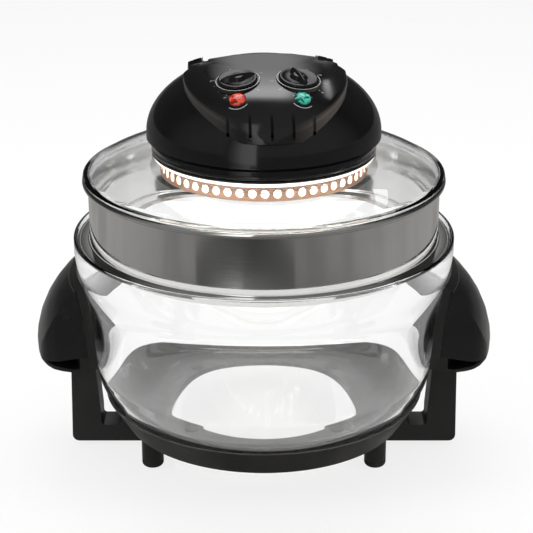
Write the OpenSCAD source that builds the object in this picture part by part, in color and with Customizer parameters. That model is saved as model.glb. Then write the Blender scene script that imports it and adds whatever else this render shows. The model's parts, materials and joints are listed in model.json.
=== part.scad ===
// Countertop halogen oven: glass bowl in a cradle, steel extender ring and a powered glass lid.
// Millimetres, +Z up, origin on the floor under the bowl's axis, front of the oven towards -Y.

/* [Cradle] */
// Height of the base ring's lower edge above the floor
ring_lift = 31; // [26:1:40]
// Height of the base ring
ring_h = 26; // [22:1:30]
// How far the base ring's lower edge stands in from the bowl's waist
ring_low_inset = 24.7; // [22:0.1:27]
// How far the base ring's upper edge stands in from the bowl's waist
ring_top_inset = 7.7; // [5:0.1:8.2]
// Wall of the base ring and of the arm's skins
base_wall = 2.8; // [2:0.2:3.4]
// Width of the base ring's seat, from its hole to its lower edge
seat_w = 43; // [42:1:49]
// Radius of a foot
foot_r = 9.75; // [8:0.25:10.5]
// Height of a rubber foot tip
foot_tip_h = 7; // [5:0.5:9]
// How far the feet stand in from the base ring's lower edge, to the side
foot_inset = 27; // [25:1:31]
// Distance of the feet from the centre, to front and back
foot_y = 52; // [48:1:56]

/* [Side arms] */
// Width of an arm's bar and upright
arm_w = 28; // [24:1:36]
// Gap between floor and bar
bar_lift = 4.5; // [3:0.5:8]
// Height of the bar
bar_h = 16.3; // [14:0.1:18]
// How far the upright's outer face stands in from the grip's
upright_inset = 27.3; // [25.6:0.1:29.6]
// Thickness of the upright at its foot
upright_t = 27; // [22:0.5:28]
// Thickness of the collar that hugs the bowl
collar_t = 8; // [6:0.5:9]
// Gap between collar and bowl
collar_gap = 2; // [1:0.1:3]
// Half angle that a grip covers round the bowl
grip_half_angle = 20; // [17:0.5:24]
// How far the grips reach out past the bowl's rim
grip_reach = 35.6; // [32:0.1:40]
// Wall of a grip hood
hood_wall = 3; // [2:0.2:3.6]

/* [Bowl] */
// Radius of the bowl's rim
rim_r = 168; // [167:0.5:170]
// Height of the bowl from its underside to its ledge
bowl_h = 165; // [160:1:170]
// Glass thickness of the bowl
glass_t = 5.2; // [4:0.2:5.6]
// Outer radius of the bowl's lower corner
corner_r = 52.4; // [48:0.2:54]
// How far the bowl's waist stands in from its rim
waist_inset = 16.3; // [15.5:0.1:18]
// Height of the rim's raised lip above its ledge
lip_h = 4; // [3:0.5:5]
// Thickness of the rest pads under the bowl
pad_t = 1.6; // [1.2:0.2:2.4]

/* [Extender ring] */
// How far the ring's wall stands in from the bowl's rim
ext_inset = 14.2; // [13.5:0.1:15]
// Height of the bead's centre above the bowl's ledge
bead_z = 54.2; // [46:0.2:60]
// Radius of the rolled bead
bead_r = 2.6; // [2:0.1:3]
// Sheet thickness of the ring
sheet_t = 1; // [0.8:0.1:1.4]
// Gap between the ring's flange and the bowl's lip
flange_gap = 2.1; // [1.6:0.1:4.6]
// Gap between the ring's skirt and the bowl's mouth
skirt_gap = 6.1; // [5.5:0.1:8.5]
// Depth of the skirt
skirt_h = 8; // [5:0.5:12]

/* [Lid] */
// Turn of the lid on its ring
lid_turn = 4; // [-180:1:180]
// Rise of the lid's glass from the ring to the head
lid_rise = 22.5; // [20:0.5:26]
// Thickness of the lid's glass
lid_glass_t = 4.5; // [3.5:0.25:5]
// How far the lid's glass stands out past the ring's wall
lid_overhang = 4.2; // [2.7:0.1:5.2]
// Width of the glass's edge under the head
lid_land = 5.8; // [5.2:0.1:6.2]
// Thickness of the gasket
gasket_t = 1.5; // [1:0.1:2]

/* [Head] */
// How far the lower housing stands in from the dome
housing_inset = 4.1; // [3.5:0.1:4.9]
// Height of the lower housing
housing_h = 12.7; // [11:0.1:14]
// Radius of the dome at its widest
dome_r = 101.9; // [101:0.1:103]
// Height of the dome above its widest level
dome_h = 63; // [62:0.5:68]
// Wall of the dome and the panel
shell_t = 2.6; // [2:0.1:3]
// How far the panel stands proud of the dome
panel_proud = 6.5; // [6:0.1:7.5]
// Radius of the panel's crown, seen from the front
crown_r = 270; // [240:5:320]
// Distance of the knobs from the middle
knob_x = 25.2; // [24:0.1:27]
// Radius of the knobs
knob_r = 16.7; // [15:0.1:17.5]
// Distance of the lenses from the middle
lens_x = 27; // [24:0.5:29]
// Radius of the lenses
lens_r = 6.7; // [5:0.1:7]
// Width of a vent slot
slot_w = 2.4; // [1.6:0.2:3]
// Distance between vent slots
slot_pitch = 17.7; // [16:0.1:19]

/* [Heater] */
// Gap between the heater guard and the hole in the lid's glass
guard_gap = 2.2; // [2:0.1:3]
// Depth of the heater guard below the head
guard_h = 20.3; // [20:0.1:22]
// Radius of the guard's round holes
guard_hole_r = 3.3; // [2.4:0.1:3.8]
// Number of the guard's round holes
guard_holes = 54; // [36:2:60]
// How far the lamp's ring stands in from the guard
lamp_inset = 27.8; // [23.8:0.1:29.8]
// Outer radius of the lamp's tube
lamp_tube_r = 4.5; // [4:0.1:5]
// Radius of the hot-air fan
hot_fan_r = 44; // [36:1:48]
// Radius of the cooling fan
cool_fan_r = 31; // [26:1:32]
// Radius of the motor's shaft
shaft_r = 2.5; // [2:0.1:3]

/* [Carry handle] */
// How far the handle's pivot lies below the dome's top
pivot_drop = 11.8; // [11.6:0.2:13.6]
// Distance of the pivot behind the middle
pivot_y = 7; // [6:0.5:8]
// Radius of the handle's hubs
hub_r = 9.5; // [8.5:0.1:10]
// Distance from the middle to a hub's inner face
hub_in = 49.3; // [49:0.1:50.5]
// Width of the handle's hubs and arms
hub_w = 15; // [12:0.5:15.5]
// How far the handle's bar stands in from the dome's widest
bar_inset = 3.9; // [3.4:0.1:6.9]
// Width of the handle's bar
bar_w = 12; // [10:0.5:13]
// Thickness of the handle's bar over the dome
bar_t = 6; // [5:0.5:7]

/* [Power inlet] */
// Height of the inlet's centre above the head's underside
inlet_z = 25; // [24.6:0.1:25.4]
// Width of the inlet's socket
inlet_w = 24.5; // [24:0.1:25]
// Height of the inlet's socket
inlet_h = 16.8; // [16:0.1:17]

/* [Hidden] */

$fn = 64;
black = "#1b1a19";
gloss_black = "#0c0c0d";
steel = "#c9c9c6";
dark_steel = "#8d8d8a";
rubber_black = "#232323";
glass_tint = [0.82, 0.88, 0.86, 0.35];
ceramic_white = "#ece7da";
copper = "#b8693d";
brass_yellow = "#c8a24a";

// clearances
touch = 0.02;      // between faces that rest on each other
fit = 0.05;        // radial, shaft in bore
loose = 0.3;       // between fixed pieces that only meet
air = 1.0;         // between a moving piece and its surroundings

// stack of heights
bowl_z = ring_lift + 7;
rim_z = bowl_z + bowl_h;
ring_top = bead_z + bead_r;
head_z = rim_z + ring_top + lid_rise;

// radii about the bowl's axis, each from the piece that it meets
waist_r = rim_r - waist_inset;
ledge_r = rim_r - 3.4;
mouth_r = rim_r - 11.5;
ring_top_r = waist_r - ring_top_inset;
ring_low_r = waist_r - ring_low_inset;
ring_hole_r = ring_low_r - seat_w;
foot_x = ring_low_r - foot_inset;
grip_r = rim_r + grip_reach;
upright_x = grip_r - upright_inset;
ext_r = rim_r - ext_inset;
flange_r = ledge_r - flange_gap;
skirt_r = mouth_r - skirt_gap;
lid_edge_r = ext_r + lid_overhang;

// radii about the head's axis
housing_r = dome_r - housing_inset;
lid_hole_r = housing_r - lid_land;
guard_r = lid_hole_r - guard_gap;
lamp_ring_r = guard_r - lamp_inset;
bar_out_r = dome_r - bar_inset;

// heights above the head's underside
dome_zc = housing_h + 4.3;      // of the dome's widest level
dome_top = dome_zc + dome_h;
pivot_z = dome_top - pivot_drop;

// smooth outlines: an arc of a circle and a Bezier curve, as lists of points
function arc(c, r, a0, a1, n = 10) =
    [for (i = [0:n]) let (a = a0 + (a1 - a0) * i / n) c + r * [cos(a), sin(a)]];
function bez(p, t) =
    pow(1 - t, 3) * p[0] + 3 * t * pow(1 - t, 2) * p[1]
    + 3 * t * t * (1 - t) * p[2] + pow(t, 3) * p[3];
function curve(p, n = 12) = [for (i = [0:n]) bez(p, i / n)];
function flip(pts) = [for (i = [len(pts) - 1:-1:0]) [-pts[i].x, pts[i].y]];
function back(pts) = [for (i = [len(pts) - 1:-1:0]) pts[i]];

// a straight round bar from p to q
module rod(p, q, r, sides = 24) {
    d = q - p;
    translate(p)
        rotate([0, acos(d.z / norm(d)), atan2(d.y, d.x)])
            cylinder(r = r, h = norm(d), $fn = sides);
}

// a bent wire through several points, eight-sided, with a ball at each bend
module bent_rod(pts, r) {
    for (i = [0:len(pts) - 2])
        rod(pts[i], pts[i + 1], r, 8);
    for (i = [1:len(pts) - 2])
        translate(pts[i]) sphere(r = r * 1.2, $fn = 16);
}

module on_head() {
    translate([0, 0, head_z]) rotate([0, 0, lid_turn]) children();
}

module both_sides() {
    children();
    mirror([1, 0, 0]) children();
}

// a screw with its head down, from z = 0 to z = h, the head below zero
module screw(h, r, head_r, head_h) {
    cylinder(r = r, h = h, $fn = 24);
    translate([0, 0, -head_h]) difference() {
        cylinder(r = head_r, h = head_h + touch, $fn = 32);
        for (a = [0, 90]) rotate([0, 0, a])
            translate([-head_r * 0.6, -head_r * 0.11, -1])
                cube([head_r * 1.2, head_r * 0.22, 1 + head_h * 0.5]);
    }
}

// ---------- bowl ----------
corner_lean = 7;      // the wall's lean just above the corner
wall_foot = [waist_r, bowl_z + 46];
corner_c = [waist_r - corner_r * cos(corner_lean), bowl_z + corner_r];
shoulder = [rim_r - 7.3, rim_z - 41];
rim_low = [rim_r - 0.9, rim_z - 18];

// outer line of the bowl, grown outwards by g
function bowl_wall(g) = concat(
    arc(corner_c, corner_r + g, -90, -corner_lean, 14),
    curve([[waist_r + g, wall_foot.y + 2], [waist_r + 4 + g, rim_z - 84],
           [shoulder.x - 4 + g, rim_z - 64], [shoulder.x + g, shoulder.y]], 8),
    curve([[shoulder.x + 1.6 + g, shoulder.y + 6], [shoulder.x + 3.6 + g, rim_z - 28],
           [rim_low.x - 0.7 + g, rim_z - 25], [rim_low.x + g, rim_low.y]], 5));

module bowl_solid(g) {
    rotate_extrude($fn = 128)
        polygon(concat([[0, bowl_z - g]], bowl_wall(g),
                       [[rim_r + g, rim_z - 9], [rim_r + g, rim_z], [0, rim_z]]));
}

module glass_bowl() {
    lip = lip_h / 2 - 0.3;
    inner = concat(
        arc(corner_c, corner_r - glass_t, -corner_lean, -90, 14),
        [[0, bowl_z + glass_t]]);
    color(glass_tint)
        rotate_extrude($fn = 128)
            polygon(concat(
                [[0, bowl_z]], bowl_wall(0), [[rim_r, rim_z - 9]],
                arc([rim_r - lip, rim_z + lip_h - lip], lip, 0, 90, 5),
                arc([ledge_r + lip, rim_z + lip_h - lip], lip, 90, 180, 5),
                [[ledge_r, rim_z]],
                arc([mouth_r + 1.5, rim_z - 1.5], 1.5, 90, 180, 4),
                curve([[mouth_r, rim_z - 22], [mouth_r - 1.2, rim_z - 50],
                       [waist_r + 1 - glass_t, rim_z - 76],
                       [waist_r - glass_t, wall_foot.y + 2]], 8),
                inner));
}

module bowl_pads() {
    color(rubber_black)
        for (a = [45:90:315]) rotate([0, 0, a])
            translate([ring_hole_r + 8, 0, bowl_z - pad_t + touch])
                cylinder(r = 6.5, h = pad_t - 2 * touch);
}

// ---------- cradle ----------
screw_r = 2;
screw_head_r = 4;
arm_screw_x = [ring_hole_r + 12, ring_hole_r + 29];
arm_screw_seat = 18;

module ring_outer(inset) {
    rotate_extrude($fn = 128)
        polygon([[0, ring_lift - inset], [ring_low_r - inset, ring_lift - inset],
                 [ring_low_r - inset, ring_lift],
                 [ring_top_r - inset, ring_lift + ring_h], [0, ring_lift + ring_h]]);
}

module base_ring() {
    color(black) difference() {
        union() {
            difference() {
                ring_outer(0);
                // hollow underside: open downwards between the outer wall and the hole's skirt
                difference() {
                    ring_outer(base_wall);
                    bowl_solid(pad_t + base_wall);
                    cylinder(r = ring_hole_r + base_wall, h = 100, $fn = 128);
                }
            }
            for (x = [-foot_x, foot_x], y = [-foot_y, foot_y])
                translate([x, y, foot_tip_h])
                    cylinder(r = foot_r, h = bowl_z - foot_tip_h);
            for (s = [-1, 1], x = arm_screw_x)
                translate([s * x, 0, ring_lift])
                    cylinder(r = 5.5, h = bowl_z - ring_lift - pad_t - 1);
        }
        bowl_solid(pad_t);
        translate([0, 0, -1]) cylinder(r = ring_hole_r, h = 100, $fn = 128);
        for (s = [-1, 1], x = arm_screw_x)
            translate([s * x, 0, 0])
                cylinder(r = screw_r + fit, h = bowl_z - pad_t - 1, $fn = 24);
        for (x = [-foot_x, foot_x], y = [-foot_y, foot_y])
            translate([x, y, 0]) cylinder(r = 3 + fit, h = foot_tip_h + 9, $fn = 32);
    }
}

module rubber_feet() {
    color(rubber_black)
        for (x = [-foot_x, foot_x], y = [-foot_y, foot_y])
            translate([x, y, 0]) {
                rotate_extrude($fn = 48)
                    polygon(concat([[0, 0]],
                                   arc([foot_r - 4, 4], 4, -90, 0, 6),
                                   [[foot_r, foot_tip_h - touch], [0, foot_tip_h - touch]]));
                cylinder(r = 3, h = foot_tip_h + 8, $fn = 32);
            }
}

tray_z = rim_z - 95.4;
collar_top = rim_z - 33;

// the grip's outer line from its top to its skirt, and the tray's line below it
function hood_line(i) = [
    [grip_r - 29.6, rim_z - 33 - i], [grip_r - 20.9 - i * 0.5, rim_z - 41 - i],
    [grip_r - 14.1 - i * 0.8, rim_z - 49.5 - i], [grip_r - 8.8 - i, rim_z - 58 - i * 0.8],
    [grip_r - 3.6 - i, rim_z - 70 - i * 0.5], [grip_r - 0.6 - i, rim_z - 82],
    [grip_r - i, rim_z - 88], [grip_r - 0.3 - i, tray_z]];
function tray_line(i) = [
    [grip_r - 0.3 - i, tray_z - 0.1], [grip_r - 4 - i, rim_z - 99.5 + i * 0.6],
    [grip_r - 8.7 - i * 0.4, rim_z - 102.4 + i], [grip_r - 17 - i * 0.2, rim_z - 105.5 + i],
    [upright_x + 0.7, rim_z - 108.4 + i], [waist_r + 7, rim_z - 108.4 + i]];

// a sector about the bowl's axis with rounded outer corners, seen from above
module grip_plan(half, r_out, corner) {
    k = asin(corner / (r_out - corner));
    linear_extrude(rim_z)
        polygon(concat(
            [[140 * cos(half), -140 * sin(half)]],
            arc((r_out - corner) * [cos(half - k), -sin(half - k)], corner, -90 - half, -half + k, 6),
            arc([0, 0], r_out, -half + k + 1, half - k - 1, 16),
            arc((r_out - corner) * [cos(half - k), sin(half - k)], corner, half - k, 90 + half, 6),
            [[140 * cos(half), 140 * sin(half)]]));
}

module grip_sector(pts, half) {
    rotate([0, 0, -half - 2]) rotate_extrude(angle = 2 * half + 4, $fn = 128) polygon(pts);
}

grip_screw_r = grip_r - 16;
grip_screw_a = 10;
grip_screw_angles = [-grip_screw_a, grip_screw_a];
grip_screw_seat = tray_z - 8.1;
grip_screw_head_r = screw_head_r - 0.5;
post_boss_r = 5;      // of the grip's posts and of the bosses under them

module arm() {
    difference() {
        union() {
            // bar and upright
            translate([0, arm_w / 2, 0]) rotate([90, 0, 0]) linear_extrude(arm_w)
                polygon(concat(
                    [[ring_hole_r, ring_lift - touch], [ring_hole_r, bar_lift]],
                    arc([upright_x - 6, bar_lift + 6], 6, -90, 0, 5),
                    [[upright_x - 1.8, rim_z - 105], [upright_x - 22, rim_z - 104],
                     [upright_x - upright_t, ring_lift]],
                    arc([upright_x - upright_t - 3, bar_lift + bar_h + 3], 3, 0, -90, 4),
                    [[ring_low_r + 7, bar_lift + bar_h], [ring_low_r + 0.5, ring_lift - touch]]));
            // collar round the bowl, and the tray that closes the hood from below
            intersection() {
                union() {
                    grip_sector([
                        [waist_r + 20, rim_z - 108.4], [waist_r + 20, collar_top],
                        [grip_r - 29.9, collar_top], [rim_r - 1.5, rim_z - 27],
                        [waist_r, rim_z - 27], [waist_r, rim_z - 108.4]], grip_half_angle);
                    grip_sector(concat(tray_line(0), back(tray_line(base_wall))), grip_half_angle);
                }
                grip_plan(grip_half_angle, grip_r, 14);
                union() {
                    bowl_solid(collar_gap + collar_t);
                    translate([0, 0, -1]) cylinder(r = grip_r + 1, h = rim_z - 104 + 1, $fn = 128);
                    grip_sector(concat(tray_line(0), [[waist_r, tray_z - 1], [waist_r, tray_z]]),
                                grip_half_angle);
                }
            }
            // bosses under the grip's posts
            ring_of(grip_screw_angles, grip_screw_r) translate([0, 0, grip_screw_seat + 0.5])
                cylinder(r = post_boss_r, h = tray_z - touch - grip_screw_seat - 0.5, $fn = 32);
        }
        bowl_solid(collar_gap);
        for (x = arm_screw_x) translate([x, 0, 0]) {
            cylinder(r = screw_r + fit, h = 60, $fn = 24);
            cylinder(r = screw_head_r + loose, h = arm_screw_seat, $fn = 32);
        }
        ring_of(grip_screw_angles, grip_screw_r) translate([0, 0, tray_z - 20]) {
            cylinder(r = screw_r + fit, h = 40, $fn = 24);
            cylinder(r = grip_screw_head_r + loose, h = grip_screw_seat - tray_z + 20, $fn = 32);
        }
    }
}

module right_arm() { color(black) arm(); }
module left_arm() { color(black) mirror([1, 0, 0]) arm(); }

module grip() {
    difference() {
        intersection() {
            grip_sector(concat(hood_line(0), [[waist_r, tray_z], [waist_r, collar_top]]),
                        grip_half_angle);
            grip_plan(grip_half_angle, grip_r, 14);
        }
        // room for the collar
        bowl_solid(collar_gap + collar_t + loose);
        // hollow inside
        difference() {
            intersection() {
                grip_sector(concat(hood_line(hood_wall),
                                   [[waist_r, tray_z - 1], [waist_r, collar_top - hood_wall]]),
                            grip_half_angle);
                grip_plan(grip_half_angle - 1, grip_r - hood_wall, 12);
                translate([0, 0, tray_z - 1]) cylinder(r = grip_r, h = 100, $fn = 128);
            }
            ring_of(grip_screw_angles, grip_screw_r) translate([0, 0, tray_z - 4])
                cylinder(r = post_boss_r, h = 90, $fn = 32);
        }
        ring_of(grip_screw_angles, grip_screw_r) translate([0, 0, tray_z - 20])
            cylinder(r = screw_r + fit, h = 36, $fn = 24);
    }
}

module right_grip() { color(black) grip(); }
module left_grip() { color(black) mirror([1, 0, 0]) grip(); }

module arm_screws() {
    color(dark_steel) both_sides() for (x = arm_screw_x)
        translate([x, 0, arm_screw_seat - touch])
            screw(bowl_z - pad_t - 2 - arm_screw_seat, screw_r, screw_head_r, 2.6);
}

module grip_screws() {
    color(dark_steel) both_sides() ring_of(grip_screw_angles, grip_screw_r)
        translate([0, 0, grip_screw_seat - touch]) screw(20, screw_r, grip_screw_head_r, 2.2);
}

// ---------- extender ring ----------
module extender_ring() {
    color(steel) translate([0, 0, rim_z + touch]) rotate_extrude($fn = 128) {
        polygon([
            [skirt_r - sheet_t, -skirt_h], [skirt_r, -skirt_h], [skirt_r, 0],
            [flange_r, 0], [flange_r, sheet_t], [ext_r, sheet_t + 0.4],
            [ext_r, bead_z], [ext_r - sheet_t, bead_z], [ext_r - sheet_t, sheet_t + 0.4],
            [skirt_r - sheet_t, sheet_t]]);
        translate([ext_r + bead_r - 0.3, bead_z - touch]) circle(r = bead_r, $fn = 24);
    }
}

// ---------- lid: everything below is in the head's frame, z = 0 at its underside ----------
lid_low = -lid_rise + touch;
glass_in_z = -gasket_t - lid_glass_t;

module lid_glass() {
    land_r = lid_hole_r + 5.5;      // flat land for gasket and clamp
    top = glass_in_z + lid_glass_t;
    under = [[ext_r - 3, lid_low + 1], [ext_r - 16, lid_low + 10],
             [land_r + 20, glass_in_z], [land_r, glass_in_z]];
    over = [[land_r, top], [land_r + 20, top],
            [ext_r - 14, lid_low + 10 + lid_glass_t], [ext_r - 0.5, lid_low + lid_glass_t + 0.6]];
    color(glass_tint) on_head() rotate_extrude($fn = 128)
        polygon(concat(
            curve(under, 14), [[lid_hole_r, glass_in_z], [lid_hole_r, top]], curve(over, 14),
            arc([lid_edge_r - 1.8, lid_low + 1.8], 1.8, 70, -70, 5),
            [[ext_r - sheet_t - air, lid_low], [ext_r - sheet_t - air, lid_low - 3.5],
             [ext_r - sheet_t - air - 3, lid_low - 3.5]]));
}

module lid_gasket() {
    color(rubber_black) on_head() translate([0, 0, -gasket_t + touch])
        difference() {
            cylinder(r = housing_r - 0.6, h = gasket_t - 2 * touch, $fn = 128);
            translate([0, 0, -1]) cylinder(r = lid_hole_r - 0.4, h = gasket_t + 2, $fn = 128);
        }
}

sleeve_r = lid_hole_r - 0.7;

module glass_clamp() {
    color(dark_steel) on_head() difference() {
        rotate_extrude($fn = 128)
            polygon([[sleeve_r - 1, glass_in_z - 1.2], [lid_hole_r + 4, glass_in_z - 1.2],
                     [lid_hole_r + 4, glass_in_z - touch], [sleeve_r, glass_in_z - touch],
                     [sleeve_r, 1.2 - touch], [sleeve_r - 1, 1.2 - touch]]);
        // windows in its sleeve, in line with the guard's
        ring_of(guard_window_angles, 0)
            guard_window(sleeve_r, glass_in_z + 0.4);
    }
}

// ---------- lower housing ----------
floor_z = 1.2;
floor_t = 2.5;
floor_top = floor_z + floor_t;
cover_screw_r = housing_r - 13.8;
cover_screw_angles = [45:90:315];
guard_screw_angles = [30:120:270];
disc_screw_angles = [90:120:330];
disc_screw_r = 50;
post_x = 20;
post_y = 18;
post_r = 2;

module ring_of(angles, r) {
    for (a = angles) rotate([0, 0, a]) translate([r, 0, 0]) children();
}

module lower_housing() {
    color(gloss_black) on_head() difference() {
        union() {
            rotate_extrude($fn = 128)
                polygon([[9, floor_z], [sleeve_r - 1.2, floor_z], [sleeve_r - 1.2, 0],
                         [housing_r - 1.4, 0], [housing_r, 1.4], [housing_r, 3.4],
                         [housing_r - 0.6, 4.2], [housing_r, 5], [housing_r, 8.6],
                         [housing_r - 1.6, 10.4], [housing_r - 1.8, housing_h - touch],
                         [housing_r - 4.4, housing_h - touch], [housing_r - 4.4, floor_top],
                         [9, floor_top]]);
            for (x = [-post_x, post_x], y = [-post_y, post_y])
                translate([x, y, floor_z]) cylinder(r = 5, h = floor_t + 2, $fn = 32);
            ring_of(guard_screw_angles, guard_tab_r) translate([0, 0, floor_z])
                cylinder(r = 3.5, h = floor_t + 3, $fn = 32);
            ring_of(disc_screw_angles, disc_screw_r) translate([0, 0, floor_z])
                cylinder(r = 3.5, h = floor_t + 3, $fn = 32);
        }
        // groove for the clamp's sleeve
        difference() {
            translate([0, 0, -1]) cylinder(r = sleeve_r + 0.2, h = floor_z + 1, $fn = 128);
            translate([0, 0, -2]) cylinder(r = sleeve_r - 1.2, h = floor_z + 3, $fn = 128);
        }
        for (x = [-post_x, post_x], y = [-post_y, post_y])
            translate([x, y, -1]) cylinder(r = post_r + fit, h = 12, $fn = 24);
        ring_of(cover_screw_angles, cover_screw_r) translate([0, 0, -1])
            cylinder(r = screw_r + fit, h = 8, $fn = 24);
        ring_of(guard_screw_angles, guard_tab_r) translate([0, 0, -1])
            cylinder(r = 1.5 + fit, h = 6.5, $fn = 24);
        ring_of(disc_screw_angles, disc_screw_r) translate([0, 0, -1])
            cylinder(r = 1.5 + fit, h = 6.5, $fn = 24);
        // lamp leads and probe pass through
        for (s = [-1, 1]) translate([s * cap_x, cap_y, -1]) cylinder(r = 2, h = 8, $fn = 24);
        translate([probe_x, probe_y, -1]) cylinder(r = 1.6, h = 8, $fn = 24);
    }
}

// ---------- dome ----------
function dome_line(g, n = 30) =
    [for (i = [0:n]) let (t = 90 * i / n) [(dome_r + g) * cos(t), dome_zc + (dome_h + g) * sin(t)]];

module dome_solid(g, z0, n = 30) {
    rotate_extrude($fn = 128)
        polygon(concat([[0, z0], [dome_r + g, z0]], dome_line(g, n)));
}

// the panel's side line from its rear corner to the front, drawn in by i
function panel_side(i) = concat(
    arc([63.3 - i, -10], 6.2, 90, 0, 4),
    [for (k = [1:14]) bez([[69.5 - i, -12], [71 - i, -58 + i * 0.6],
                           [42 - i * 0.7, 1.9 - dome_r + i], [0, 0.4 - dome_r + i]], k / 14)]);

module panel_plan(i, rear = 5) {
    half = concat([[0, rear - i], [47.6 - i, rear - 1.6 - i], [47.6 - i, -3.8 - i * 0.2]],
                  panel_side(i));
    linear_extrude(200) polygon(concat(half, flip([for (k = [0:len(half) - 2]) half[k]])));
}

// the panel's outer surface is turned about a level axis along Y; this is its line along the middle
panel_line = [[-6.8, dome_top + 2.3], [54.3 - dome_r, dome_top - 2.4],
              [3.9 - dome_r, dome_top - 7.6], [0.4 - dome_r, dome_top - 45.9]];
panel_rise = 2;       // of its line from there to the rear
panel_low = 33.2;
crown_z = panel_line[0].y - crown_r;

module crown_solid(g) {
    translate([0, 0, crown_z]) rotate([-90, 0, 0]) rotate_extrude($fn = 180)
        polygon(concat(
            [[0, panel_line[3].x - 2], [panel_line[3].y - crown_z - 1 + g, panel_line[3].x - 2 ]],
            [for (k = [14:-1:0]) let (q = bez(panel_line, k / 14)) [q.y - crown_z + g, q.x]],
            [[panel_line[0].y - crown_z + panel_rise + g, 12], [0, 12]]));
}

// forward tilt of the panel, and its turn about the crown's axis, at x and at the middle line's t
function panel_tilt(t) =
    let (d = bez(panel_line, t + 0.001) - bez(panel_line, t - 0.001)) atan2(d.y, d.x) + 180;
function panel_turn(x, t) = asin(x / (bez(panel_line, t).y - crown_z));

// stands children on the panel's surface there
module on_panel(x, t) {
    q = bez(panel_line, t);
    translate([0, 0, crown_z]) rotate([0, panel_turn(x, t), 0])
        translate([0, q.x, q.y - crown_z]) rotate([panel_tilt(t), 0, 0]) children();
}

// the same for a point, given in the frame that stands there
function panel_point(x, t, p) =
    let (a = panel_tilt(t), b = panel_turn(x, t), q = bez(panel_line, t),
         y = p.y * cos(a) - p.z * sin(a) + q.x,
         z = p.y * sin(a) + p.z * cos(a) + q.y - crown_z)
    [p.x * cos(b) + z * sin(b), y, crown_z - p.x * sin(b) + z * cos(b)];

knob_t = 0.36;
lens_t = 0.567;
lens_sink = 2.6;      // the panel's skin is trimmed this far below its crown at the lenses
seat_r = knob_r + 2;
seat_h = 0.4;

module panel_outside(g) {
    intersection() {
        crown_solid(g);
        dome_solid(panel_proud + g, -5, 18);
        translate([0, 0, panel_low - 20]) cylinder(r = 110, h = 100);
    }
}

module control_panel() {
    color(gloss_black) on_head() difference() {
        union() {
            intersection() {
                panel_outside(0);
                panel_plan(0);
                translate([0, 0, panel_low]) cylinder(r = 110, h = 100);
            }
            for (s = [-1, 1]) on_panel(s * knob_x, knob_t)
                translate([0, 0, -6]) cylinder(r = seat_r, h = 6 + seat_h);
            for (s = [-1, 1]) on_panel(s * lens_x, lens_t)
                translate([0, 0, -9]) cylinder(r = lens_r + 1.3, h = 9 - lens_sink + 0.9);
        }
        // hollow inside, and the dome below
        difference() {
            intersection() {
                panel_outside(-shell_t);
                panel_plan(shell_t);
                translate([0, 0, -1]) cylinder(r = 110, h = 120);
            }
            for (s = [-1, 1]) on_panel(s * lens_x, lens_t)
                translate([0, 0, -9]) cylinder(r = lens_r + 1.3, h = 12);
        }
        dome_solid(0.2, -5);
        // knob shafts, lenses and vent slots
        for (s = [-1, 1]) on_panel(s * knob_x, knob_t)
            translate([0, 0, -30]) cylinder(r = 4.2, h = 40, $fn = 32);
        for (s = [-1, 1]) on_panel(s * lens_x, lens_t)
            translate([0, 0, -30]) cylinder(r = lens_r + fit, h = 40);
        for (k = [-2:2]) translate([k * slot_pitch - slot_w / 2, -112, panel_low + 3])
            cube([slot_w, 26, 22]);
    }
}

pocket_r = hub_r + 0.7;
pocket_in = hub_in - 0.5;
pocket_out = hub_in + hub_w + 0.8;
pin_r = 2.5;
pin_head_r = 3.5;     // small enough to lie under the dome's shell
switch_x = hub_in + 3.2;
plunger_r = 1.5;
switch_in = switch_x + 3.2;
boss_in = hub_in - 9;
inlet_face_y = dome_r + 1.5;
inlet_depth = 26;

module inlet_shape(w, h, y0, y1) {
    translate([0, y1, inlet_z]) rotate([90, 0, 0]) linear_extrude(y1 - y0)
        polygon([[-w / 2, -h / 2], [w / 2, -h / 2], [w / 2, h / 2 - 4],
                 [w / 2 - 4, h / 2], [-w / 2 + 4, h / 2], [-w / 2, h / 2 - 4]]);
}

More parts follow.
